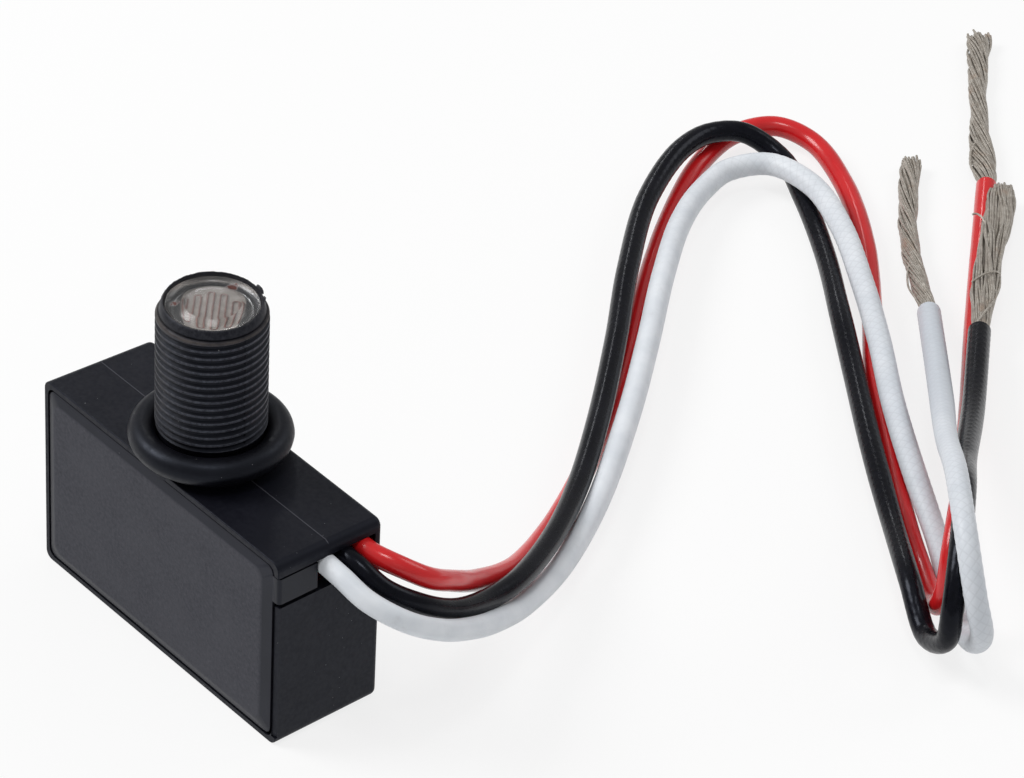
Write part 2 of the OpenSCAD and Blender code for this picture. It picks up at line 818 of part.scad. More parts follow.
case();
cover();
sealing_ring();
lens();
photocell();
photocell_track();
photocell_wires();
circuit_board();
relay();
relay_pins();
bridge_rectifier();
film_capacitor();
electrolytic_capacitor();
varistor();
transistor();
resistors();
zener_diode();
part_wires();
solder_joints();
white_lead();
black_lead();
red_lead();
white_strands();
black_strands();
red_strands();
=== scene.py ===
# Photocell switch: a moulded case with a threaded stem, a lens over a cell, a ring and three free leads
import math
import random

import bmesh
import bpy
from mathutils import Matrix, Vector


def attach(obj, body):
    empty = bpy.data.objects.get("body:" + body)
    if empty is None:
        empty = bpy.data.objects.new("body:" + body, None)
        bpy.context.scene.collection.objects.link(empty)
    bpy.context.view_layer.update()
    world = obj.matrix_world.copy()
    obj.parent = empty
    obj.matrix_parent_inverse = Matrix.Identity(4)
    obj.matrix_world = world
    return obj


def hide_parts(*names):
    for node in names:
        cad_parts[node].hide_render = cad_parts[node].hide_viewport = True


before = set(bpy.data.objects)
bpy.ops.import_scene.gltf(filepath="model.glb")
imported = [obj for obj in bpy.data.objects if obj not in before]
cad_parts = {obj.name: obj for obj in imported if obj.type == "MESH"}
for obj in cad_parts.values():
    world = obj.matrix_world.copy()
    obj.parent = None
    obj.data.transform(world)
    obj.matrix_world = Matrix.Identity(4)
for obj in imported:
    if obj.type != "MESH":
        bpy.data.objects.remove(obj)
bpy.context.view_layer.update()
MM = 0.001

# Sizes of the case, in millimetres: those of the solids, with edges, lips and gaps eased to the photograph
CASE_L, CASE_W, CASE_H = 43.6, 15.1, 25.4
WALL, BACK_WALL = 1.6, 1.2
DRAFT = math.tan(math.radians(1))
CORNER_R, EDGE_R, CAVITY_R = 1.1, 0.7, 0.6
COVER_T, LIP_W, COVER_GAP = 1.8, 0.7, 0.25
BORDER_W, BORDER_FALL, FIELD_R, LEAD_BORDER_W = 1.4, 0.4, 1.4, 1.8
LIP_FALL, LEAD_LIP, SNUG_GAP, LEAD_GAP = 0.28, 0.4, 0.12, 0.42
SLOT_Z0, SLOT_Z1, TONGUE_GAP = 19.4, 23.6, 0.5
NOTCH_BACK, TONGUE_BACK = 6.5, -1.7
FRONT, BACK = -CASE_W / 2, CASE_W / 2
CAVITY_X = CASE_L / 2 - WALL
CAVITY_FRONT, CAVITY_BACK = FRONT + COVER_T, BACK - BACK_WALL
CAVITY_TOP = CASE_H - WALL

# Sizes of the stem, the ring, the lens and the cell
STEM_R, NECK_R, COLLAR_R, RIM_R = 6.35, 5.9, 7.4, 5.6
COLLAR_Z, THREAD_Z, TAPER_Z, RIM_Z = 26.15, 29.411, 43.6, 45.5
LEAD_IN, LEAD_IN_H = 0.25, 0.6
PASSAGE_R, POCKET_R, SEAT_R = 3.2, 4.7, 5.4
CELL_Z, CELL_TOP, LENS_Z, FLANGE_Z = 41.25, 43.25, 43.55, 44.6
LENS_R, LENS_FLAT_R = 5.3, 3.1
RING_R, RING_T, RING_Z = 7.75, 3.2, 27.711
THREAD_PITCH, THREAD_DEPTH, THREAD_START = 0.977, 0.24, 28.87

# Heights of the board's rails, and lumps of flash on the rim: degrees round it, half sizes and a seed
RAILS = ((2.8, 4), (5.75, 6.95))
NUBS = ((76, (0.2, 0.9, 0.22), 3), (58, (0.15, 0.5, 0.15), 8))

# Directions over the floor in the photograph: to its right and away from the camera
RIGHT, AWAY = Vector((0.665, 0.747, 0)), Vector((-0.747, 0.665, 0))

# Routes of the leads and of their bare ends, in millimetres
WHITE_ROUTE = [
    (13.5, -0.4, 7), (13.5, -0.4, 15), (15.5, -0.4, 20), (20, -0.3, 22.2), (23.9, -0.3, 22.2),
    (27.9, 0.4, 20.9), (31.2, 3.1, 18.9), (31.5, 8.5, 15.3), (30.4, 14.2, 12.3), (28, 19.8, 9.3),
    (24.6, 26.7, 6.2), (20.3, 35.6, 4.5), (13.3, 47.1, 4.2), (2, 62, 4.4), (-7.8, 73.6, 4.6),
    (-18, 85.1, 4.3), (-25.9, 95, 4), (-30.6, 103, 3.3), (-32.1, 108.9, 3.3), (-29.3, 113.4, 3.9),
    (-22, 114, 4.4), (-13.1, 110.9, 4.2), (-2.4, 104.6, 4.2), (8.6, 97.3, 4.3), (19.2, 89.7, 4.2),
    (30.2, 82.7, 3.8), (40.1, 77.2, 2.3), (49.3, 71.2, 1.7), (57, 66.3, 2.8), (61.5, 63.3, 7.7),
    (60.8, 62.3, 13), (56.1, 64.7, 17.9), (47.2, 71.7, 18.2), (36.7, 80.8, 13.1), (25.8, 91, 8.3),
    (6.8, 107.7, 3.1),
]
BLACK_ROUTE = [
    (13.5, 2.2, 7), (13.5, 2.2, 15), (15.5, 2.2, 20), (20, 2.3, 22.2), (23.3, 2.4, 22.2),
    (26.7, 3.6, 20.4), (28.6, 7.1, 17.9), (28.4, 12.3, 14.5), (26.5, 18.8, 11.5), (24.4, 25.1, 9.9),
    (18.6, 35.3, 7.5), (10.3, 46.7, 5.3), (0.4, 58.6, 4.5), (-11, 71.2, 4.3), (-21.3, 82, 4.5),
    (-32.1, 94.9, 4.6), (-37.5, 105.5, 5.1), (-38.1, 111.1, 5), (-36.1, 115.1, 4.5), (-31, 117.3, 2.3),
    (-23.4, 114.2, 1.5), (-12.1, 107.6, 1.5), (-1, 99.6, 2.6), (10.7, 91.4, 2.6), (23.2, 82.4, 3.3),
    (35.6, 74, 3.6), (47, 66.1, 5), (53.4, 62.9, 2.7), (58.3, 61, 6.1), (58.7, 61, 10.7),
    (55.6, 64.5, 15.1), (48, 72.6, 15.8), (39.5, 81.5, 11.5), (27.9, 94.6, 6.5), (14.7, 108.7, 4.3),
]
RED_ROUTE = [
    (13.5, 4.8, 7), (13.5, 4.8, 15), (15.5, 4.8, 20), (20, 4.9, 22.2), (22.9, 5.1, 22.2),
    (25.6, 6.6, 21.5), (27.2, 9.4, 19.6), (26.2, 13.7, 16.5), (23.2, 20.4, 11.6), (19.5, 29, 7),
    (14, 38.5, 3.8), (8, 48, 2.2), (-1, 61, 1.6), (-10, 72.5, 1.4), (-20, 84, 1.4), (-30.5, 97.5, 1.4),
    (-37.5, 109.1, 1.7), (-39.1, 116.3, 2.3), (-37, 121.6, 2.6), (-32.1, 123.6, 2), (-23, 120.9, 1.4),
    (-10.9, 113.4, 1.5), (0.5, 104, 1.4), (11, 94.7, 1.4), (23.9, 85.1, 1.4), (34.7, 77.4, 1.4),
    (42.9, 72.3, 1.4), (50.8, 67.1, 3.5), (52.2, 66.6, 6.6), (51.4, 67.8, 11), (48.6, 71.2, 13),
    (41.3, 79.5, 8.6), (36, 85.2, 6.2), (24.2, 98, 2.8), (10.5, 112.3, 1.4), (-11.5, 135.7, 1.4),
]
WHITE_BARE = [(6.8, 107.7, 3.1), (-1, 113, 2.4), (-7.5, 118, 1.8), (-13, 123, 1.4), (-22, 132, 1.2)]
BLACK_BARE = [(14.7, 108.7, 4.3), (9, 115, 4), (2.5, 122.5, 3.4), (-4, 130.5, 2.8), (-9, 136, 2.4)]
RED_BARE = [(-11.5, 135.7, 1.4), (-18, 141, 1.3), (-24, 146.5, 1.2), (-30, 152, 1.2), (-39, 161, 1.2)]
BOARD_TAIL_Z = 3
TINNED_R = 0.55
LEAD_R = 1.25

# Half the width of each lead at lengths along it
WHITE_SIZE = [
    (0, LEAD_R), (30, LEAD_R), (60, 1.35), (100, 1.48), (235, 1.48), (250, 1.35), (312, 1.35), (328, 1.5),
    (360, 1.5),
]
BLACK_SIZE = [
    (0, LEAD_R), (30, LEAD_R), (60, 1.33), (100, 1.42), (150, 1.42), (165, 1.36), (200, 1.36), (210, 1.42),
    (240, 1.42), (255, 1.33), (310, 1.33), (325, 1.44), (360, 1.44),
]
RED_SIZE = [(0, LEAD_R), (30, LEAD_R), (60, 1.35), (250, 1.35), (262, 1.28), (300, 1.32), (380, 1.36)]

# The braid that shows through: its diamonds and pitch, then its relief and where it begins and is full
BRAID_AROUND, BRAID_PITCH = 6, 1.35
WHITE_BRAID, BLACK_BRAID = (0.035, 120, 190), (0.018, 60, 150)


# Camera

def set_camera():
    """Puts the camera where the photograph was taken from."""
    azimuth, elevation, roll = (math.radians(a) for a in (48.3225, 35.7242, 3.0905))
    focal_px, image_px, sensor = 5169.7177, 1024, 36
    distance, shift_right, shift_up = 594.7451, -34.8905, -27.162
    back = Vector((
        math.sin(azimuth) * math.cos(elevation), -math.cos(azimuth) * math.cos(elevation), math.sin(elevation)
    ))
    right = Vector((math.cos(azimuth), math.sin(azimuth), 0))
    up = back.cross(right)
    right, up = (
        math.cos(roll) * right + math.sin(roll) * up, math.cos(roll) * up - math.sin(roll) * right
    )
    eye = (back * distance - right * shift_right - up * shift_up) * MM
    camera = bpy.data.objects.new("camera", bpy.data.cameras.new("camera"))
    bpy.context.scene.collection.objects.link(camera)
    turn = Matrix((right, up, back)).transposed().to_4x4()
    camera.matrix_world = Matrix.Translation(eye) @ turn
    camera.data.sensor_width = sensor
    camera.data.lens = focal_px / image_px * sensor
    camera.data.clip_start, camera.data.clip_end = 0.01, 20
    bpy.context.scene.camera = camera


# Tools for modelling

def deselect():
    if bpy.context.object and bpy.context.object.mode != "OBJECT":
        bpy.ops.object.mode_set(mode="OBJECT")
    bpy.ops.object.select_all(action="DESELECT")


def activate(piece):
    deselect()
    piece.select_set(True)
    bpy.context.view_layer.objects.active = piece


def edit(piece):
    activate(piece)
    bpy.ops.object.mode_set(mode="EDIT")
    bpy.ops.mesh.select_all(action="SELECT")


def leave():
    bpy.ops.object.mode_set(mode="OBJECT")


def choose(kind, test):
    """Selects the vertices, edges or faces of the piece in edit mode that pass a test."""
    bpy.ops.mesh.select_mode(type=kind)
    bpy.ops.mesh.select_all(action="DESELECT")
    mesh = bpy.context.edit_object.data
    shape = bmesh.from_edit_mesh(mesh)
    for item in {"VERT": shape.verts, "EDGE": shape.edges, "FACE": shape.faces}[kind]:
        item.select_set(test(item))
    shape.select_flush_mode()
    bmesh.update_edit_mesh(mesh)


def choose_edges_at(*depths):
    """Selects the edges that lie at one of the given places on Y."""
    choose("EDGE", lambda e: any(all(near(v.co.y, depth) for v in e.verts) for depth in depths))


def face_out():
    """Turns all the faces of the piece in edit mode outwards."""
    bpy.ops.mesh.select_all(action="SELECT")
    bpy.ops.mesh.normals_make_consistent(inside=False)


def settled(name):
    """The piece just added, named, with its place and size taken into its mesh."""
    piece = bpy.context.object
    piece.name = piece.data.name = name
    bpy.ops.object.transform_apply(location=True, rotation=True, scale=True)
    return piece


def near(value, target, slack=0.01):
    """True where a length in metres is a size in millimetres."""
    return abs(value / MM - target) < slack


def block(name, low, high):
    """Adds a cube between two corners, in millimetres."""
    deselect()
    middle = [(a + b) / 2 * MM for a, b in zip(low, high)]
    sides = [(b - a) * MM for a, b in zip(low, high)]
    bpy.ops.mesh.primitive_cube_add(size=1, location=middle, scale=sides)
    return settled(name)


def turned(name, profile, sides=160):
    """Turns a profile of radius and height about the stem's axis, by raising and scaling a circle."""
    deselect()
    radius, height = profile[0]
    bpy.ops.mesh.primitive_circle_add(
        vertices=sides, radius=radius * MM, location=(0, 0, height * MM), fill_type="NGON"
    )
    piece = settled(name)
    edit(piece)
    bpy.ops.mesh.select_mode(type="FACE")
    bpy.ops.mesh.select_all(action="SELECT")
    for (r0, z0), (r1, z1) in zip(profile, profile[1:]):
        bpy.ops.mesh.extrude_region_move(TRANSFORM_OT_translate={"value": (0, 0, (z1 - z0) * MM)})
        scale = r1 / r0
        bpy.ops.transform.resize(value=(scale, scale, 1), center_override=(0, 0, z1 * MM))
    face_out()
    leave()
    return piece


def combine(piece, tool, operation):
    """Joins a tool to a piece, or cuts it away, and removes the tool."""
    activate(piece)
    bpy.ops.object.modifier_add(type="BOOLEAN")
    modifier = piece.modifiers[-1]
    modifier.operation = operation
    modifier.solver = "EXACT"
    modifier.object = tool
    bpy.ops.object.modifier_apply(modifier=modifier.name)
    bpy.data.objects.remove(tool, do_unlink=True)


def round_along_y(piece, radius, segments=6):
    """Rounds the edges of a block that run along Y."""
    edit(piece)
    choose("EDGE", lambda e: abs(e.verts[0].co.y - e.verts[1].co.y) > abs(e.verts[0].co.x - e.verts[1].co.x)
           + abs(e.verts[0].co.z - e.verts[1].co.z) and len(e.link_faces) == 2)
    bpy.ops.mesh.bevel(offset=radius * MM, segments=segments, affect="EDGES")
    leave()


def shade(piece, angle):
    """Shades a piece smooth up to an angle in degrees, so that sharper edges stay crisp."""
    activate(piece)
    bpy.ops.object.shade_smooth_by_angle(angle=math.radians(angle))


def smooth(piece, angle=35):
    """Shades a piece smooth up to an angle, with flat faces kept flat."""
    shade(piece, angle)
    bpy.ops.object.modifier_add(type="WEIGHTED_NORMAL")
    modifier = piece.modifiers[-1]
    modifier.keep_sharp = True
    bpy.ops.object.modifier_apply(modifier=modifier.name)


def dress(piece, material):
    piece.data.materials.clear()
    piece.data.materials.append(material)


def stand_for(piece, slot, *nodes):
    """Rides a piece on the part, in place of its solids."""
    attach(piece, "root")
    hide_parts(*nodes)


# Case

def thread_cutter():
    """A helical groove tool for the stem's thread, which runs out through the drawn-in end."""
    deselect()
    bpy.ops.mesh.primitive_plane_add(size=1, rotation=(math.radians(90), 0, 0))
    tool = settled("thread_cutter")
    root_half, slope, outside = 0.12, 1, 0.06
    mouth_half = root_half + (THREAD_DEPTH + outside) * slope
    edit(tool)
    choose("FACE", lambda f: True)
    bpy.ops.mesh.delete(type="ONLY_FACE")
    for side, radius, half in ((-1, STEM_R - THREAD_DEPTH, root_half), (1, STEM_R + outside, mouth_half)):
        for end in (-1, 1):
            choose("VERT", lambda v: abs(v.co.x - side * 0.5) < 0.1 and abs(v.co.z - end * 0.5) < 0.1)
            place = Vector((radius * MM, 0, (THREAD_START + end * half) * MM))
            bpy.ops.transform.translate(value=place - Vector((side * 0.5, 0, end * 0.5)))
    leave()
    bpy.ops.object.modifier_add(type="SCREW")
    modifier = tool.modifiers[-1]
    modifier.angle = math.radians(360)
    modifier.screw_offset = THREAD_PITCH * MM
    modifier.iterations = math.ceil((RIM_Z - THREAD_START) / THREAD_PITCH) - 1
    modifier.steps = modifier.render_steps = 96
    modifier.use_merge_vertices = False
    bpy.ops.object.modifier_apply(modifier=modifier.name)
    edit(tool)
    bpy.ops.mesh.fill_holes(sides=8)
    face_out()
    leave()
    return tool


def flash_nub(azimuth, size, seed):
    """A rough lump of moulding flash on the stem's rim."""
    chance = random.Random(seed)
    angle = math.radians(azimuth)
    reach, rough = RIM_R + 0.1, 0.07
    place = Vector((reach * math.cos(angle), reach * math.sin(angle), RIM_Z)) * MM
    deselect()
    bpy.ops.mesh.primitive_ico_sphere_add(
        subdivisions=2, radius=MM, location=place, rotation=(0, 0, angle), scale=size
    )
    nub = settled("flash_nub")
    for vertex in nub.data.vertices:
        vertex.co += Vector([chance.uniform(-rough, rough) * MM for _ in range(3)])
    return nub


def roughen_rim(case):
    """Leans the drawn-in rim a little towards the camera and leaves its edge uneven."""
    chance = random.Random(5)
    low, ragged, fall, lean = 44.5, 0.035, 0.09, 0.17
    for vertex in case.data.vertices:
        height = vertex.co.z / MM
        if height > low:
            share = ramp(height, low, RIM_Z)
            towards = -AWAY.dot(vertex.co) / MM / RIM_R
            vertex.co.z += share * (chance.uniform(-ragged, ragged) - fall - lean * towards) * MM
            out = 1 + share * chance.uniform(-0.004, 0.006)
            vertex.co.x *= out
            vertex.co.y *= out


def make_case():
    lip_front = FRONT + LIP_FALL
    beyond = CASE_L / 2 + 1
    lip_r, seam_half, ridge_half, ridge_h = 0.14, 0.06, 0.05, 0.025
    case = block("case_moulding", (-CASE_L / 2, lip_front, 0), (CASE_L / 2, BACK, CASE_H))
    edit(case)
    lean = CASE_W * DRAFT
    choose("VERT", lambda v: v.co.y > 0)
    bpy.ops.transform.resize(value=(1 - 2 * lean / CASE_L, 1, 1), center_override=(0, 0, 0))
    choose("VERT", lambda v: v.co.y > 0 and v.co.z > CASE_H / 2 * MM)
    bpy.ops.transform.translate(value=(0, 0, -lean * MM))
    leave()
    round_along_y(case, CORNER_R, 8)
    edit(case)
    choose_edges_at(BACK)
    bpy.ops.mesh.bevel(offset=EDGE_R * MM, segments=5, affect="EDGES")
    choose_edges_at(lip_front)
    bpy.ops.mesh.bevel(offset=lip_r * MM, segments=3, affect="EDGES")
    leave()
    sunk, foot_bevel = 24.4, 0.1
    drawn_in = [
        (6.3, 44.02), (6.2, 44.12), (5.9, 44.18), (5.96, 44.3), (5.92, 44.6), (5.8, 45.05), (5.7, 45.3),
    ]
    stem = turned("stem", [
        (COLLAR_R, sunk), (COLLAR_R, COLLAR_Z - foot_bevel), (COLLAR_R - foot_bevel, COLLAR_Z),
        (NECK_R, COLLAR_Z), (NECK_R, THREAD_Z - LEAD_IN_H), (STEM_R - LEAD_IN, THREAD_Z - LEAD_IN_H),
        (STEM_R, THREAD_Z), (STEM_R, TAPER_Z + 0.15),
    ] + drawn_in + [(RIM_R, RIM_Z - 0.05), (RIM_R - 0.08, RIM_Z)])
    combine(stem, thread_cutter(), "DIFFERENCE")
    for side in (-1, 1):
        reach = sorted((side * (NECK_R - 0.3), side * (STEM_R - 0.15)))
        seam = block("seam", (reach[0], -seam_half, THREAD_Z), (reach[1], seam_half, TAPER_Z))
        combine(stem, seam, "UNION")
    combine(case, stem, "UNION")
    bore = turned("bore", [
        (PASSAGE_R, CAVITY_TOP - 1), (PASSAGE_R, CELL_Z), (POCKET_R, CELL_Z), (POCKET_R, LENS_Z),
        (SEAT_R, LENS_Z), (SEAT_R, RIM_Z - 0.12), (SEAT_R + 0.07, RIM_Z + 0.02), (SEAT_R + 0.07, RIM_Z + 1),
    ])
    combine(case, bore, "DIFFERENCE")
    for azimuth, size, seed in NUBS:
        combine(case, flash_nub(azimuth, size, seed), "UNION")
    cavity = block("cavity", (-CAVITY_X, CAVITY_FRONT - 1, WALL), (CAVITY_X, CAVITY_BACK, CAVITY_TOP))
    round_along_y(cavity, CAVITY_R)
    combine(case, cavity, "DIFFERENCE")
    rabbet = block(
        "rabbet", (LIP_W - CASE_L / 2, FRONT - 1, LIP_W), (CASE_L / 2 - LIP_W, CAVITY_FRONT, CASE_H - LIP_W)
    )
    round_along_y(rabbet, CORNER_R)
    combine(case, rabbet, "DIFFERENCE")
    lip_back = FRONT + LEAD_LIP
    lip = block("lip", (CASE_L / 2 - LIP_W, FRONT - 1, CORNER_R), (beyond, lip_back, SLOT_Z0 + 1))
    edit(lip)
    choose("EDGE", lambda e: all(near(v.co.y, lip_back) and near(v.co.x, beyond) for v in e.verts))
    bpy.ops.transform.translate(value=(0, LEAD_LIP * MM, 0))
    leave()
    combine(case, lip, "DIFFERENCE")
    notch = block("notch", (CAVITY_X - 1, FRONT - 1, SLOT_Z0), (beyond, NOTCH_BACK, SLOT_Z1))
    combine(case, notch, "DIFFERENCE")
    for side in (-1, 1):
        for low, high in RAILS:
            ends = sorted((side * (CAVITY_X - 1), side * (CAVITY_X + WALL / 2)))
            rail = block("rail", (ends[0], CAVITY_FRONT + 0.15, low), (ends[1], CAVITY_BACK + 0.6, high))
            combine(case, rail, "UNION")
    crown = CASE_H - CASE_W / 2 * DRAFT
    for ends in ((-CASE_L / 2 + 0.9, -COLLAR_R - 0.2), (COLLAR_R + 0.2, CASE_L / 2 - 0.9)):
        ridge = block("ridge", (ends[0], -ridge_half, crown - 0.5), (ends[1], ridge_half, crown + ridge_h))
        combine(case, ridge, "UNION")
    roughen_rim(case)
    return case


# Cover

def rounded_plate(name, low, high, y, radius, segments=8):
    """A flat plate with round corners, drawn in X and Z."""
    deselect()
    middle = ((low[0] + high[0]) / 2 * MM, y * MM, (low[1] + high[1]) / 2 * MM)
    bpy.ops.mesh.primitive_plane_add(size=1, location=middle, rotation=(math.radians(90), 0, 0))
    bpy.context.object.scale = ((high[0] - low[0]) * MM, (high[1] - low[1]) * MM, 1)
    plate = settled(name)
    edit(plate)
    bpy.ops.mesh.bevel(offset=radius * MM, segments=segments, affect="VERTICES")
    leave()
    return plate


def make_cover():
    inset = LIP_W + COVER_GAP
    snug = LIP_W + SNUG_GAP
    low, high = (snug - CASE_L / 2, snug), (CASE_L / 2 - LIP_W - LEAD_GAP, CASE_H - inset)
    shoulder = FRONT + BORDER_FALL
    field_bevel, shoulder_bevel, tongue_bevel = 0.16, 0.1, 0.5
    field = rounded_plate(
        "field", (low[0] + BORDER_W, low[1] + BORDER_W), (high[0] - LEAD_BORDER_W, high[1] - BORDER_W),
        FRONT, FIELD_R
    )
    cover = rounded_plate("cover_plate", low, high, shoulder, CORNER_R)
    edit(cover)
    bpy.ops.mesh.select_mode(type="FACE")
    bpy.ops.mesh.select_all(action="SELECT")
    bpy.ops.mesh.extrude_region_move(
        TRANSFORM_OT_translate={"value": (0, (CAVITY_FRONT - shoulder) * MM, 0)}
    )
    choose("FACE", lambda f: all(near(v.co.y, shoulder) for v in f.verts))
    bpy.ops.mesh.delete(type="ONLY_FACE")
    leave()
    deselect()
    field.select_set(True)
    cover.select_set(True)
    bpy.context.view_layer.objects.active = cover
    bpy.ops.object.join()
    edit(cover)
    choose_edges_at(shoulder, FRONT)
    bpy.ops.mesh.bridge_edge_loops()
    face_out()
    choose_edges_at(FRONT)
    bpy.ops.mesh.bevel(offset=field_bevel * MM, segments=3, affect="EDGES")
    choose_edges_at(shoulder)
    bpy.ops.mesh.bevel(offset=shoulder_bevel * MM, segments=2, affect="EDGES")
    leave()
    tongue = block(
        "tongue", (CAVITY_X + COVER_GAP, shoulder, SLOT_Z0 + TONGUE_GAP),
        (CASE_L / 2, TONGUE_BACK, SLOT_Z1 - COVER_GAP)
    )
    edit(tongue)
    choose("VERT", lambda v: v.co.x > (CASE_L / 2 - 0.1) * MM)
    bpy.ops.transform.translate(value=(-BORDER_FALL * DRAFT * MM, 0, 0))
    choose("VERT", lambda v: v.co.x > (CASE_L / 2 - 0.1) * MM and v.co.y > (TONGUE_BACK - 0.1) * MM)
    bpy.ops.transform.translate(value=(-(TONGUE_BACK - shoulder) * DRAFT * MM, 0, 0))
    choose("EDGE", lambda e: all(
        v.co.x > (CASE_L / 2 - 0.3) * MM and near(v.co.y, shoulder) for v in e.verts
    ))
    bpy.ops.mesh.bevel(offset=tongue_bevel * MM, segments=5, affect="EDGES")
    leave()
    combine(cover, tongue, "UNION")
    return cover


# Ring, lens and cell

def make_ring():
    deselect()
    bpy.ops.mesh.primitive_torus_add(
        major_radius=RING_R * MM, minor_radius=RING_T / 2 * MM, major_segments=144, minor_segments=40,
        location=(0, 0, RING_Z * MM)
    )
    ring = settled("seal_ring")
    edit(ring)
    flash = 0.03
    edge = RING_R + RING_T / 2
    choose("VERT", lambda v: near(math.hypot(v.co.x, v.co.y), edge))
    grow = 1 + flash / edge
    bpy.ops.transform.resize(value=(grow, grow, 1), center_override=(0, 0, 0))
    leave()
    return ring


def make_lens():
    """Clear cap on the cell: a round moat inside the rim, and a low plateau whose top has a crisp edge."""
    moat_r, moat_w, moat_h, steepest, steps = 4.3, 0.95, 0.55, math.radians(60), 8
    moat = []
    for k in range(steps + 1):
        a = steepest * (1 - k / steps)
        out, rise = math.sin(a) / math.sin(steepest), (1 - math.cos(a)) / (1 - math.cos(steepest))
        moat.append((moat_r + moat_w * out, FLANGE_Z + moat_h * rise))
    foot_r = POCKET_R - 0.05
    plateau = (
        (4.15, 0.02), (4.0, 0.08), (3.85, 0.165), (3.5, 0.395), (3.2, 0.592), (LENS_FLAT_R, 0.615),
        (2.9, 0.63), (2.2, 0.66), (1.4, 0.68), (0.6, 0.69),
    )
    return turned("lens_cap", [
        (foot_r, CELL_TOP - 0.12), (foot_r, LENS_Z), (LENS_R, LENS_Z), (LENS_R, FLANGE_Z + moat_h - 0.05),
    ] + moat + [(radius, FLANGE_Z + rise) for radius, rise in plateau])


def make_track():
    """The thin winding line on the cell, with round corners."""
    disc, pitch, turn, line_r = 3.3, 0.7, 0.3, 0.1
    middle = Vector((0, 0, CELL_TOP + 0.03))
    legs = [pitch * (k - 4) for k in range(9)]
    reach = [math.sqrt(disc ** 2 - c ** 2) for c in legs]
    corners = []
    for k, c in enumerate(legs):
        side = 1 if k % 2 else -1
        before = min(reach[k], reach[k - 1]) if k else reach[k]
        after = min(reach[k], reach[k + 1]) if k < 8 else reach[k]
        corners += [(c, -side * before), (c, side * after)]
    stops = [RIGHT * a + AWAY * b + middle for a, b in corners]
    line = [stops[0]]
    for before, corner, after in zip(stops, stops[1:], stops[2:]):
        start = corner + (before - corner).normalized() * turn
        end = corner + (after - corner).normalized() * turn
        for i in range(7):
            t = i / 6
            line.append(start * (1 - t) ** 2 + corner * (2 * t * (1 - t)) + end * t ** 2)
    line.append(stops[-1])
    points, faces = [], []
    thread_of(points, faces, [p * MM for p in line], line_r * MM, 8)
    return add_mesh("cell_track", points, faces)


# Leads

def smooth_route(points, step):
    """Points about a step apart on a smooth curve through the given points, and its length, in metres."""
    stops = [Vector(p) * MM for p in points]
    ends = [stops[0] * 2 - stops[1]] + stops + [stops[-1] * 2 - stops[-2]]
    fine = []
    for i in range(1, len(ends) - 2):
        p0, p1, p2, p3 = ends[i - 1:i + 3]
        t1 = (p1 - p0).length ** 0.5
        t2 = t1 + (p2 - p1).length ** 0.5
        t3 = t2 + (p3 - p2).length ** 0.5
        pieces = 40
        for k in range(pieces):
            t = t1 + (t2 - t1) * k / pieces
            a1 = p0 * ((t1 - t) / t1) + p1 * (t / t1)
            a2 = p1 * ((t2 - t) / (t2 - t1)) + p2 * ((t - t1) / (t2 - t1))
            a3 = p2 * ((t3 - t) / (t3 - t2)) + p3 * ((t - t2) / (t3 - t2))
            b1 = a1 * ((t2 - t) / t2) + a2 * (t / t2)
            b2 = a2 * ((t3 - t) / (t3 - t1)) + a3 * ((t - t1) / (t3 - t1))
            fine.append(b1 * ((t2 - t) / (t2 - t1)) + b2 * ((t - t1) / (t2 - t1)))
    fine.append(stops[-1])
    lengths = [0]
    for a, b in zip(fine, fine[1:]):
        lengths.append(lengths[-1] + (b - a).length)
    count = max(2, round(lengths[-1] / step))
    even, at = [], 0
    for k in range(count + 1):
        goal = lengths[-1] * k / count
        while at < len(fine) - 2 and lengths[at + 1] < goal:
            at += 1
        span = lengths[at + 1] - lengths[at]
        even.append(fine[at].lerp(fine[at + 1], (goal - lengths[at]) / span if span else 0))
    return even, lengths[-1]


def frames_along(line):
    """Direction and a carried side vector at each point of a line."""
    along = [
        (line[min(i + 1, len(line) - 1)] - line[max(i - 1, 0)]).normalized() for i in range(len(line))
    ]
    side = Vector((0, 1, 0))
    across = []
    for direction in along:
        side = (side - direction * side.dot(direction)).normalized()
        across.append(side)
    return along, across


def add_mesh(name, points, faces, corners_uv=None):
    mesh = bpy.data.meshes.new(name)
    mesh.from_pydata(points, [], faces)
    if corners_uv:
        layer = mesh.uv_layers.new(name="along")
        for loop, uv in zip(layer.data, corners_uv):
            loop.uv = uv
    mesh.validate()
    mesh.polygons.foreach_set("use_smooth", [True] * len(mesh.polygons))
    piece = bpy.data.objects.new(name, mesh)
    bpy.context.scene.collection.objects.link(piece)
    return piece


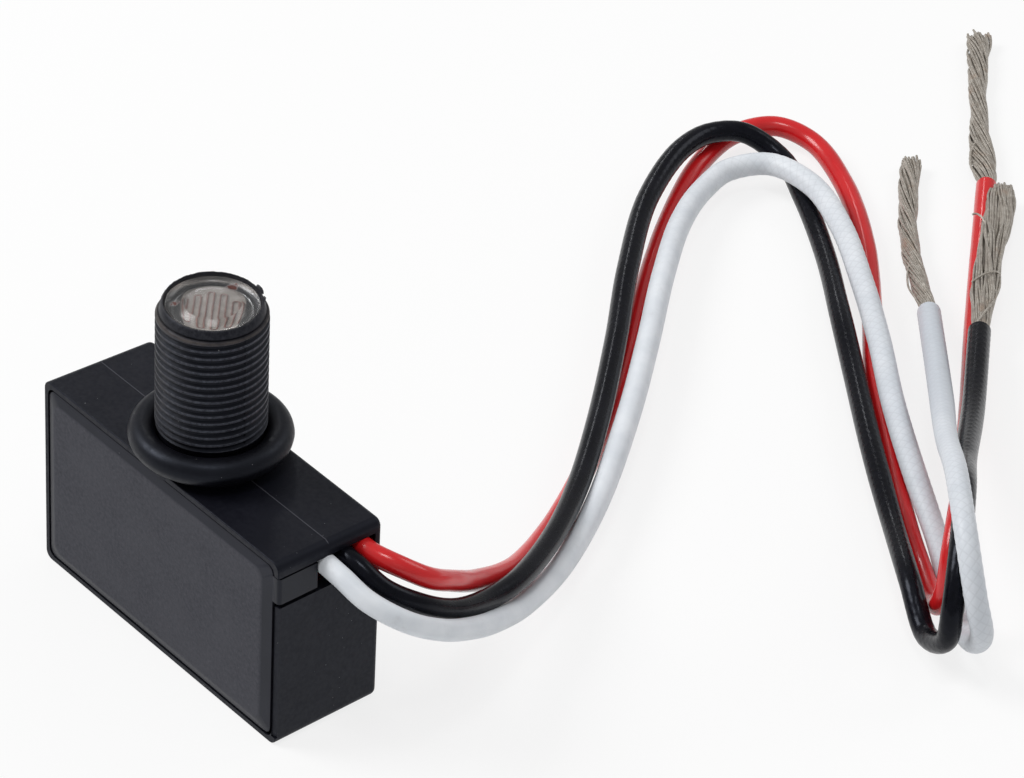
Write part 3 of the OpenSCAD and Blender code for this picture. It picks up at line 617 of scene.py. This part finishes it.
def sleeve(name, route, radius, step, sides):
    """Insulation along a route. radius gives the size at a turn round the lead and a length along it."""
    line, length = smooth_route(route, step * MM)
    along, across = frames_along(line)
    rings = len(line)
    points, faces, uvs = [], [], []
    for i, centre in enumerate(line):
        s = length * i / (rings - 1)
        other = along[i].cross(across[i])
        for k in range(sides):
            a = 2 * math.pi * k / sides
            r = radius(k / sides, s / MM) * MM
            points.append(centre + across[i] * (math.cos(a) * r) + other * (math.sin(a) * r))
    for i in range(rings - 1):
        v0, v1 = (length * j / (rings - 1) for j in (i, i + 1))
        for k in range(sides):
            j = (k + 1) % sides
            faces.append((i * sides + k, i * sides + j, (i + 1) * sides + j, (i + 1) * sides + k))
            u0, u1 = k / sides, (k + 1) / sides
            uvs += [(u0, v0), (u1, v0), (u1, v1), (u0, v1)]
    hole, depth = 0.72, 0.8
    for ring, direction in ((0, -1), (rings - 1, 1)):
        base = ring * sides
        centre = line[ring]
        rim = len(points)
        for k in range(sides):
            points.append(centre + (points[base + k] - centre) * hole)
        well = len(points)
        for k in range(sides):
            points.append(points[rim + k] - along[ring] * (direction * depth * MM))
        middle = len(points)
        points.append(centre - along[ring] * (direction * depth * MM))
        v = length * ring / (rings - 1)
        for k in range(sides):
            j = (k + 1) % sides
            bands = [(base + k, base + j, rim + j, rim + k), (rim + k, rim + j, well + j, well + k)]
            for band in bands + [(well + k, well + j, middle)]:
                face = band if direction > 0 else tuple(reversed(band))
                faces.append(face)
                uvs += [(k / sides, v)] * len(face)
    piece = add_mesh(name, points, faces, uvs)
    shade(piece, 50)
    return piece, line, length


def lattice(u, s):
    """Height of the braid's diamonds, from 0 in their grooves to 1."""
    turn, run = BRAID_AROUND * u, s / BRAID_PITCH
    return abs(math.sin(math.pi * (turn + run)) * math.sin(math.pi * (turn - run)))


def ramp(value, low, high):
    """Eases from 0 to 1 as a value goes from low to high."""
    t = min(1, max(0, (value - low) / (high - low)))
    return t * t * (3 - 2 * t)


def at_length(table, t):
    """Value at a length or a share of it, eased between pairs of length and value."""
    for (t0, v0), (t1, v1) in zip(table, table[1:]):
        if t <= t1:
            return v0 + (v1 - v0) * ramp(t, t0, t1)
    return table[-1][1]


def braided(table, braid, u, s):
    """Half the width of a lead with its braid, at a turn round it and a length along it."""
    relief, start, full = braid
    return at_length(table, s) + relief * ramp(s, start, full) * (lattice(u, s) - 0.5)


def white_radius(u, s):
    return braided(WHITE_SIZE, WHITE_BRAID, u, s)


def black_radius(u, s):
    return braided(BLACK_SIZE, BLACK_BRAID, u, s)


def red_radius(u, s):
    wave = 0.006
    return at_length(RED_SIZE, s) + wave * math.sin(s * 0.9) + wave * math.sin(s * 0.37 + 6.28 * u)


# Bare ends

def thread_of(points, faces, line, radius, sides=6):
    """Adds one strand along a line to lists of points and faces."""
    along, across = frames_along(line)
    first = len(points)
    for i, centre in enumerate(line):
        other = along[i].cross(across[i])
        for k in range(sides):
            a = 2 * math.pi * k / sides
            points.append(centre + (across[i] * math.cos(a) + other * math.sin(a)) * radius)
    for i in range(len(line) - 1):
        for k in range(sides):
            j = (k + 1) % sides
            a, b = first + i * sides, first + (i + 1) * sides
            faces.append((a + k, a + j, b + j, b + k))
    last = first + (len(line) - 1) * sides
    faces.append(tuple(first + k for k in reversed(range(sides))))
    faces.append(tuple(last + k for k in range(sides)))


def bundle(name, route, bare, widths, heights, seed, lay, cross, crowd, strays):
    """Twisted strands along a bare end, and the tinned tail of the lead in the board."""
    chance = random.Random(seed)
    step, strand_r, stray_r = 0.35, 0.165, 0.14
    line, length = smooth_route(route[-2:] + bare[1:], step * MM)
    cut = (Vector(route[-1]) - Vector(route[-2])).length * MM
    skip = max(0, int(cut / length * (len(line) - 1)) - 3)
    line = line[skip:]
    count = len(line) - 1
    along, _ = frames_along(line)
    sides, ups = [], []
    for direction in along:
        side = direction.cross(Vector((0, 0, 1))).normalized()
        sides.append(side)
        ups.append(side.cross(direction))
    points, faces = [], []
    layers = ((22, 1), (16, 0.72), (10, 0.44), (4, 0.16))
    plies, ply_height = 3, 0.12
    for number, share in layers:
        number = round(number * crowd)
        for n in range(number):
            phase = 2 * math.pi * (n + 0.3 * chance.random()) / number
            wave = [chance.uniform(0, 6.28) for _ in range(3)]
            drift = chance.uniform(-cross, cross)
            ply = 1 + ply_height * math.cos(plies * phase)
            stop = count - chance.randint(0, 4)
            strand = []
            for i in range(stop + 1):
                t = i / count
                s = i * step
                width = at_length(widths, t) / 2 - strand_r
                height = at_length(heights, t) / 2 - strand_r
                loose = 0.012 + 0.035 * t
                a = phase + 2 * math.pi * s / lay + drift * t + 0.08 * math.sin(s * 0.5 + wave[0])
                out = share * ply * (1 + loose * math.sin(s * 0.8 + wave[1]))
                offset = sides[i] * (width * out * math.cos(a)) + ups[i] * (height * out * math.sin(a))
                strand.append(line[i] + offset * MM)
            thread_of(points, faces, strand, strand_r * MM)
    for stray in strays:
        strand = []
        for t, across, up in stray:
            i = min(count, max(0, round(t * count)))
            strand.append((line[i] + (sides[i] * across + ups[i] * up) * MM) / MM)
        curve, _ = smooth_route([tuple(p) for p in strand], step * MM)
        thread_of(points, faces, curve, stray_r * MM)
    foot = Vector(route[0]) * MM
    tail = [foot.copy() for _ in range(4)]
    for z, point in zip((BOARD_TAIL_Z, BOARD_TAIL_Z + 0.1, route[0][2] - 0.1, route[0][2]), tail):
        point.z = z * MM
    thread_of(points, faces, tail, TINNED_R * MM, 16)
    piece = add_mesh(name, points, faces)
    shade(piece, 70)
    return piece


# Finishes

def paint(red, green, blue):
    """A colour written as 0 to 255 on a screen."""
    def linear(value):
        share = value / 255
        return share / 12.92 if share <= 0.04045 else ((share + 0.055) / 1.055) ** 2.4
    return linear(red), linear(green), linear(blue), 1


class Finish:
    """A material with short ways to add and join its nodes."""

    def __init__(self, name, **shader):
        self.material = bpy.data.materials.new(name)
        self.material.use_nodes = True
        self.tree = self.material.node_tree
        self.shader = self.tree.nodes["Principled BSDF"]
        self.place = self.add("ShaderNodeTexCoord").outputs["Object"]
        self.uv = self.add("ShaderNodeUVMap", uv_map="along").outputs["UV"] if "sleeve" in name else None
        for socket, value in shader.items():
            self.set(socket.replace("_", " "), value)

    def add(self, kind, inputs=None, **settings):
        node = self.tree.nodes.new(kind)
        for key, value in settings.items():
            setattr(node, key, value)
        for key, value in (inputs or {}).items():
            if isinstance(value, bpy.types.NodeSocket):
                self.tree.links.new(value, node.inputs[key])
            else:
                node.inputs[key].default_value = value
        return node

    def set(self, socket, value):
        if isinstance(value, bpy.types.NodeSocket):
            self.tree.links.new(value, self.shader.inputs[socket])
        else:
            self.shader.inputs[socket].default_value = value

    def noise(self, size, detail=3, rough=0.5, place=None, stretch=None):
        """Noise with features of a size in millimetres."""
        place = place or self.place
        if stretch:
            place = self.add("ShaderNodeMapping", {"Vector": place, "Scale": stretch}).outputs[0]
        inputs = {"Vector": place, "Scale": 1 / (size * MM), "Detail": detail, "Roughness": rough}
        return self.add("ShaderNodeTexNoise", inputs).outputs["Fac"]

    def between(self, value, low, high, start=0, end=1):
        """Goes from start to end as a value goes from low to high."""
        inputs = {0: value, 1: low, 2: high, 3: start, 4: end}
        return self.add("ShaderNodeMapRange", inputs, clamp=True).outputs[0]

    def within(self, length, low, high, start=0, end=1):
        """The same for a length, with its limits in millimetres."""
        return self.between(length, low * MM, high * MM, start, end)

    def maths(self, operation, a, b=0.0):
        return self.add("ShaderNodeMath", {0: a, 1: b}, operation=operation).outputs[0]

    def times(self, a, b):
        return self.maths("MULTIPLY", a, b)

    def vector(self, operation, a, b=(0, 0, 0), output="Value"):
        return self.add("ShaderNodeVectorMath", {0: a, 1: b}, operation=operation).outputs[output]

    def mix(self, share, a, b):
        return self.add("ShaderNodeMix", {0: share, 6: a, 7: b}, data_type="RGBA").outputs[2]

    def axis(self, name, place=None):
        split = self.add("ShaderNodeSeparateXYZ", {0: place or self.place})
        return split.outputs[name]

    def specks(self, spacing, size, share):
        """Small dots of dust: 1 in a dot, 0 elsewhere."""
        cells = self.add("ShaderNodeTexVoronoi", {"Vector": self.place, "Scale": 1 / (spacing * MM)})
        dot = self.between(cells.outputs["Distance"], size / spacing, 0.5 * size / spacing)
        chosen = self.maths("LESS_THAN", self.axis("X", cells.outputs["Color"]), share)
        return self.times(dot, chosen)

    def dusted(self, base, colour, strength, *grains):
        """A colour with dust on it. A grain is a spacing, a size and a share of the places."""
        dust = 0.0
        for grain in grains:
            dust = self.maths("MAXIMUM", self.specks(*grain), dust)
        return self.mix(self.times(dust, strength), base, colour)

    def braid(self):
        """Lines of the braid under a sleeve: 1 in its grooves, 0 between them."""
        turn = self.times(self.axis("X", self.uv), BRAID_AROUND)
        run = self.maths("DIVIDE", self.axis("Y", self.uv), BRAID_PITCH * MM)
        one, two = (
            self.maths("PINGPONG", self.maths(way, turn, run), 0.5) for way in ("ADD", "SUBTRACT")
        )
        return self.between(self.maths("MINIMUM", one, two), 0.13, 0.03)

    def roughen(self, size, detail, low, high):
        """Roughness that goes between two values in patches of a size in millimetres."""
        self.set("Roughness", self.between(self.noise(size, detail), 0.3, 0.7, low, high))

    def bump(self, height, depth):
        """Bump of a depth in millimetres."""
        inputs = {"Height": height, "Distance": depth * MM, "Strength": 1}
        self.set("Normal", self.add("ShaderNodeBump", inputs).outputs[0])


def moulding_finish():
    f = Finish("satin_moulding", Specular_IOR_Level=0.21, Specular_Tint=(0.72, 0.8, 1, 1))
    base = f.mix(f.between(f.noise(6, 4), 0.35, 0.65), paint(10, 10, 17), paint(16, 16, 23))
    height = f.axis("Z")
    flat = f.vector("MULTIPLY", f.place, (1, 1, 0), "Vector")
    reach = f.vector("LENGTH", flat)
    on_stem = f.times(f.within(height, 28.7, 29), f.within(reach, 6.8, 6.6))
    crest_highlight = f.times(on_stem, f.within(reach, 6.3, 6.34))
    # Painted shade: the whole stem is painted darker than the case, for the shade in the thread's flanks and
    # roots.
    base = f.mix(on_stem, base, paint(7, 7, 12))
    # Painted highlight: the thread's outermost faces are painted lighter, broken up by noise, for the floor's
    # reflection in them.
    crest_highlight_gaps = f.between(f.noise(0.4, 4, 0.65), 0.35, 0.65, 0.3, 1)
    base = f.mix(f.times(crest_highlight, crest_highlight_gaps), base, paint(72, 74, 82))
    left = f.within(f.vector("DOT_PRODUCT", f.place, -RIGHT), 1, 6)
    smear = f.between(f.noise(1.6, 5, 0.65), 0.42, 0.62, 0.2, 0.8)
    base = f.mix(f.times(f.times(on_stem, left), smear), base, paint(46, 44, 44))
    # A lighter brownish band in patches round the land above the thread, from 43.6 to 44.18 mm up.
    land = f.times(f.within(height, 43.6, 43.9), f.within(height, 44.18, 44.08))
    pale_land_patches = f.times(land, f.between(f.noise(0.9, 4), 0.3, 0.7, 0.3, 0.95))
    base = f.mix(pale_land_patches, base, paint(78, 72, 69))
    edge = f.times(f.within(height, 45.1, 45.4), f.within(reach, 5.3, 5.45))
    grit = f.between(f.noise(0.22, 5, 0.7), 0.45, 0.62)
    base = f.mix(f.times(edge, grit), base, paint(84, 82, 82))
    inside = f.times(f.within(height, 44.6, 44.8), f.within(reach, 5.6, 5.45))
    base = f.mix(inside, base, paint(44, 43, 45))
    cap = f.times(f.within(height, 44.2, 44.4), f.between(f.noise(0.5, 5, 0.7), 0.4, 0.62, 0.15, 0.7))
    base = f.mix(cap, base, paint(48, 48, 52))
    on_ridge = f.within(f.maths("ABSOLUTE", f.axis("Y")), 0.08, 0.05)
    on_top = f.times(f.within(height, 24.9, 25.1), f.within(height, 25.7, 25.5))
    base = f.mix(f.times(on_ridge, on_top), base, paint(64, 64, 70))
    base = f.dusted(base, paint(150, 150, 152), 0.7, (1.7, 0.08, 0.2), (0.8, 0.05, 0.14))
    f.set("Base Color", base)
    f.roughen(0.5, 4, 0.4, 0.56)
    f.bump(f.noise(0.16, 3, 0.6), 0.004)
    return f.material


def panel_finish():
    f = Finish("dusty_panel", Specular_IOR_Level=0.3, Specular_Tint=(0.78, 0.84, 1, 1))
    field = f.within(f.axis("Y"), FRONT + 0.1, FRONT + 0.03)
    mottle = f.between(f.noise(0.5, 5, 0.65), 0.3, 0.7)
    cloud = f.between(f.noise(7, 3), 0.35, 0.65)
    dull = f.mix(mottle, paint(48, 48, 53), paint(67, 67, 73))
    dull = f.mix(f.times(cloud, 0.4), dull, paint(68, 68, 73))
    rim = f.mix(cloud, paint(21, 21, 27), paint(28, 28, 35))
    tongue = f.within(f.axis("X"), 20.8, 21.2)
    rim = f.mix(tongue, rim, paint(15, 15, 21))
    base = f.mix(field, rim, dull)
    f.set("Base Color", f.dusted(base, paint(140, 140, 144), 0.5, (1.9, 0.08, 0.2), (0.9, 0.045, 0.16)))
    f.set("Roughness", f.between(field, 0, 1, 0.44, 0.7))
    f.bump(f.times(f.noise(0.22, 4, 0.7), f.between(field, 0, 1, 0.2, 1)), 0.02)
    return f.material


def seal_finish():
    f = Finish("satin_rubber", Specular_IOR_Level=0.24, Specular_Tint=(0.72, 0.8, 1, 1))
    base = f.mix(f.between(f.noise(3, 4), 0.35, 0.65), paint(8, 8, 12), paint(14, 14, 19))
    f.set("Base Color", f.dusted(base, paint(150, 150, 152), 0.75, (1.5, 0.09, 0.2), (0.8, 0.05, 0.16)))
    f.roughen(0.6, 4, 0.36, 0.5)
    f.bump(f.noise(0.3, 3), 0.006)
    return f.material


def lens_finish():
    """Clear plastic, a little clouded, with two brown stains near its edge."""
    clear_share, stained_share = 0.96, 0.3
    f = Finish("clear_cap", Transmission_Weight=clear_share, IOR=1.45, Roughness=0.24)
    tint = f.between(f.noise(2.2, 3), 0.4, 0.7)
    clear = f.mix(tint, paint(250, 251, 252), paint(236, 238, 240))
    ragged = f.between(f.noise(0.5, 4, 0.6), 0.3, 0.7, -0.35 * MM, 0.35 * MM)
    stain = 0.0
    for spot, size in (((-1.8, 3.95, 44.7), 0.72), ((-3.05, -2.95, 44.7), 0.62)):
        away = f.vector("DISTANCE", f.place, Vector(spot) * MM)
        mark = f.within(f.maths("ADD", away, ragged), size, size - 0.3)
        stain = f.maths("MAXIMUM", mark, stain)
    f.set("Base Color", f.mix(stain, clear, paint(104, 66, 60)))
    f.set("Transmission Weight", f.between(stain, 0, 1, clear_share, stained_share))
    f.bump(f.noise(1.8, 2), 0.01)
    return f.material


def cell_finish():
    """Grey ceramic under the winding line, with painted shade darkening its left and right sides."""
    f = Finish("grey_ceramic", Specular_IOR_Level=0.3)
    # Painted shade: the cell's left and right sides are painted near black, for the dark gap seen beside it
    # through the lens.
    side = f.within(f.maths("ABSOLUTE", f.vector("DOT_PRODUCT", f.place, RIGHT)), 2.9, 3.1)
    grain = f.mix(f.between(f.noise(1.2, 4), 0.35, 0.65), paint(122, 115, 109), paint(142, 136, 131))
    f.set("Base Color", f.mix(side, grain, paint(18, 17, 18)))
    f.roughen(0.4, 3, 0.5, 0.65)
    f.bump(f.noise(0.24, 3), 0.006)
    return f.material


def grained(name, light, dark, size=1.5, rough=(0.4, 0.55), metallic=0.0, depth=0.006):
    """A plain finish with cloudy colour and a fine grain."""
    f = Finish(name, Metallic=metallic)
    f.set("Base Color", f.mix(f.between(f.noise(size, 4), 0.35, 0.65), paint(*dark), paint(*light)))
    f.roughen(size / 3, 3, *rough)
    f.bump(f.noise(size / 5, 3), depth)
    return f.material


def white_finish():
    f = Finish("white_sleeve", Roughness=0.42, Specular_IOR_Level=0.4)
    cloud = f.between(f.noise(4, 4), 0.35, 0.65)
    base = f.mix(cloud, paint(214, 219, 225), paint(226, 230, 235))
    along = f.axis("Y", f.uv)
    # Painted shade: the lead is painted darker from 180 mm on, and much darker from 300 mm to its end, for
    # shade along those stretches.
    dull = f.maths("MAXIMUM", f.within(along, 180, 220, 0, 0.35), f.within(along, 300, 330, 0, 0.85))
    base = f.mix(dull, base, paint(192, 198, 206))
    grime = f.times(f.between(f.noise(2.5, 5, 0.7), 0.58, 0.75), 0.25)
    base = f.mix(grime, base, paint(176, 176, 178))
    _, start, full = WHITE_BRAID
    # Painted shade: the braid's grooves are painted greyer, for the shade that falls in them.
    groove = f.times(f.braid(), f.within(along, start, full, 0, 0.24))
    base = f.mix(groove, base, paint(178, 182, 188))
    f.set("Base Color", f.dusted(base, paint(90, 88, 86), 0.6, (2.4, 0.06, 0.1)))
    f.bump(f.noise(0.25, 3), 0.004)
    return f.material


def black_finish():
    f = Finish("black_sleeve", Specular_IOR_Level=0.16, Specular_Tint=(0.78, 0.84, 1, 1))
    mottle = f.between(f.noise(1.0, 4, 0.6), 0.4, 0.62)
    base = f.mix(mottle, paint(5, 5, 9), paint(9, 9, 16))
    base = f.mix(f.times(f.between(f.noise(9, 2), 0.5, 0.65), 0.3), base, paint(26, 26, 31))
    f.set("Base Color", f.dusted(base, paint(150, 150, 152), 0.6, (1.6, 0.07, 0.18), (0.8, 0.04, 0.12)))
    f.roughen(0.6, 4, 0.18, 0.3)
    f.bump(f.noise(0.3, 3), 0.005)
    return f.material


def red_finish():
    f = Finish("red_sleeve", Specular_IOR_Level=0.5)
    cloud = f.between(f.noise(5, 4), 0.35, 0.65)
    base = f.mix(cloud, paint(200, 24, 29), paint(211, 33, 36))
    f.set("Base Color", f.dusted(base, paint(110, 30, 30), 0.5, (2, 0.06, 0.12)))
    f.roughen(0.8, 4, 0.17, 0.26)
    f.bump(f.noise(0.6, 3), 0.003)
    return f.material


def strand_finish():
    f = Finish("tinned_copper", Metallic=0.55)
    tone = f.between(f.noise(0.8, 4, 0.6), 0.35, 0.65)
    base = f.mix(tone, paint(158, 150, 140), paint(187, 181, 172))
    base = f.mix(f.times(f.between(f.noise(2.5, 3), 0.58, 0.72), 0.5), base, paint(160, 132, 110))
    f.set("Base Color", base)
    f.roughen(0.3, 3, 0.36, 0.54)
    f.bump(f.noise(0.2, 3), 0.002)
    return f.material


# Floor and light

def make_stage():
    """A pale floor that shows white to the camera and keeps the part's shadow, with soft lamps round it."""
    floor_size, white_share, world_strength = 6, 0.8, 0.42
    deselect()
    bpy.ops.mesh.primitive_plane_add(size=floor_size)
    floor = bpy.context.object
    floor.name = "floor"
    material = bpy.data.materials.new("pale_floor")
    material.use_nodes = True
    tree = material.node_tree
    tree.nodes.clear()
    output = tree.nodes.new("ShaderNodeOutputMaterial")
    cloth = tree.nodes.new("ShaderNodeBsdfDiffuse")
    cloth.inputs["Color"].default_value = (0.86, 0.86, 0.86, 1)
    glow = tree.nodes.new("ShaderNodeEmission")
    glow.inputs["Strength"].default_value = 1
    rays = tree.nodes.new("ShaderNodeLightPath")
    seen = rays.outputs["Is Camera Ray"]
    for ray in ("Is Glossy Ray", "Is Transmission Ray"):
        join = tree.nodes.new("ShaderNodeMath")
        join.operation = "MAXIMUM"
        tree.links.new(seen, join.inputs[0])
        tree.links.new(rays.outputs[ray], join.inputs[1])
        seen = join.outputs[0]
    share = tree.nodes.new("ShaderNodeMath")
    share.operation = "MULTIPLY"
    share.inputs[1].default_value = white_share
    tree.links.new(seen, share.inputs[0])
    mix = tree.nodes.new("ShaderNodeMixShader")
    tree.links.new(share.outputs[0], mix.inputs[0])
    tree.links.new(cloth.outputs[0], mix.inputs[1])
    tree.links.new(glow.outputs[0], mix.inputs[2])
    tree.links.new(mix.outputs[0], output.inputs["Surface"])
    floor.data.materials.append(material)
    world = bpy.data.worlds.new("studio")
    bpy.context.scene.world = world
    world.use_nodes = True
    sky = world.node_tree.nodes["Background"]
    sky.inputs["Color"].default_value = (1, 1, 1, 1)
    sky.inputs["Strength"].default_value = world_strength
    aim = Vector((5, 60, 8)) * MM
    # Name, place and width in metres, power in watts
    lamps = (
        ("key_light", (-0.62, -0.42, 0.75), 0.55, 6.6),
        ("fill_light", (0.75, -0.35, 0.6), 0.5, 0.12),
        ("back_light", (0.15, 0.95, 0.75), 0.6, 1.8),
        ("streak_light", (-0.77, 0.54, 0.5), 0.1, 0.25),
        ("top_light", (0.14, -0.12, 0.92), 0.22, 1.4),
    )
    for name, place, size, power in lamps:
        data = bpy.data.lights.new(name, "AREA")
        data.shape = "DISK"
        data.size = size
        data.energy = power
        lamp = bpy.data.objects.new(name, data)
        bpy.context.scene.collection.objects.link(lamp)
        lamp.location = place
        lamp.rotation_euler = (aim - Vector(place)).to_track_quat("-Z", "Y").to_euler()


# Making

set_camera()
make_stage()

# Leads: route, bare end, half width, step and sides of the mesh, finish, and the width in metres
leads = (
    ("white", WHITE_ROUTE, WHITE_BARE, white_radius, 0.16, 40, white_finish(), 0.0028),
    ("black", BLACK_ROUTE, BLACK_BARE, black_radius, 0.16, 40, black_finish(), 0.0028),
    ("red", RED_ROUTE, RED_BARE, red_radius, 0.4, 28, red_finish(), 0.0027),
)
# Bare ends: widths and heights at shares of the length, seed, lay, crossing, crowding and stray strands
SHAPES = {
    "white": (
        [(0, 1.9), (0.15, 2.3), (0.5, 2.4), (0.8, 2.5), (1, 2.9)],
        [(0, 1.8), (0.15, 2.1), (1, 2.1)], 11, 28, 0.4, 1,
        [((0.02, -0.8, 0.4), (0.1, -1.35, 0.6), (0.17, -1.75, 0.6), (0.24, -1.4, 0.5), (0.3, -0.9, 0.6))],
    ),
    "black": (
        [(0, 2.0), (0.12, 2.4), (0.3, 3.3), (0.5, 3.2), (0.7, 3.6), (0.9, 3.6), (1, 2.9)],
        [(0, 1.9), (0.12, 2.0), (0.6, 2.0), (1, 1.8)], 23, 90, 2.0, 1.5,
        [((0.4, 1.6, 0.2), (0.37, 1.0, 1.1), (0.34, -0.5, 1.2), (0.31, -1.7, 0.6)),
         ((0.39, 1.7, 0.1), (0.3, 1.85, 0.5), (0.2, 1.4, 1.0), (0.1, 0.3, 1.2), (0.03, -0.7, 0.9)),
         ((0.72, -1.5, 0.4), (0.75, -2.2, 0.7), (0.76, -2.9, 0.8), (0.75, -3.3, 0.8))],
    ),
    "red": (
        [(0, 1.8), (0.1, 3.0), (0.2, 3.5), (0.38, 2.5), (0.55, 2.2), (0.8, 2.7), (1, 3.3)],
        [(0, 1.8), (0.15, 2.2), (0.55, 2.1), (1, 2.1)], 37, 28, 0.4, 1.1,
        [((0.01, -0.5, 0.8), (0.06, -1.3, 0.9), (0.12, -1.8, 0.7), (0.2, -1.6, 0.7), (0.26, -0.9, 0.9))],
    ),
}
strand_metal = strand_finish()
for colour, route, bare, radius, step, sides, material, diameter in leads:
    lead, line, length = sleeve(colour + "_insulation", route, radius, step, sides)
    dress(lead, material)
    strands = bundle(colour + "_bare_strands", route, bare, *SHAPES[colour])
    dress(strands, strand_metal)
    stand_for(strands, "tinned_strands", colour + "_strands")
    stand_for(lead, colour + "_sleeve", colour + "_lead")

case = make_case()
smooth(case)
dress(case, moulding_finish())
stand_for(case, "moulding", "case")

cover = make_cover()
smooth(cover)
dress(cover, panel_finish())
stand_for(cover, "panel", "cover")

ring = make_ring()
smooth(ring, 60)
dress(ring, seal_finish())
stand_for(ring, "seal", "sealing_ring")

track = make_track()
dress(track, grained("brown_film", (112, 72, 62), (88, 54, 46), 0.6, (0.45, 0.6)))
stand_for(track, "track", "photocell_track")

lens = make_lens()
smooth(lens, 18)
lens.visible_shadow = False
dress(lens, lens_finish())
stand_for(lens, "clear", "lens")

inner = {
    "photocell": cell_finish(),
    "photocell_wires": grained("tinned_wire", (190, 188, 184), (160, 156, 150), 0.8, (0.25, 0.4), 0.9),
    "circuit_board": grained("bare_laminate", (176, 146, 84), (150, 118, 60), 1.4, (0.45, 0.6)),
    "relay": grained("blue_relay_case", (52, 96, 150), (38, 76, 128), 5, (0.25, 0.38)),
    "bridge_rectifier": grained("black_resin", (40, 40, 41), (26, 26, 27), 2, (0.5, 0.65)),
    "film_capacitor": grained("red_resin", (190, 56, 42), (164, 40, 30), 3, (0.2, 0.34)),
    "electrolytic_capacitor": grained("blue_can_sleeve", (36, 48, 92), (26, 34, 70), 3, (0.25, 0.36)),
    "varistor": grained("blue_resin", (48, 104, 160), (34, 82, 136), 2, (0.25, 0.38)),
    "resistors": grained("tan_lacquer", (204, 180, 136), (182, 156, 112), 1.2, (0.25, 0.4)),
    "zener_diode": grained("amber_glass", (196, 100, 58), (160, 70, 40), 1, (0.1, 0.2)),
    "solder_joints": grained("dull_solder", (186, 186, 186), (150, 150, 152), 0.7, (0.3, 0.5), 0.9),
}
inner["relay_pins"] = inner["part_wires"] = inner["photocell_wires"]
inner["transistor"] = inner["bridge_rectifier"]
for node, material in inner.items():
    dress(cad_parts[node], material)

bpy.context.scene.view_settings.view_transform = "Standard"
deselect()
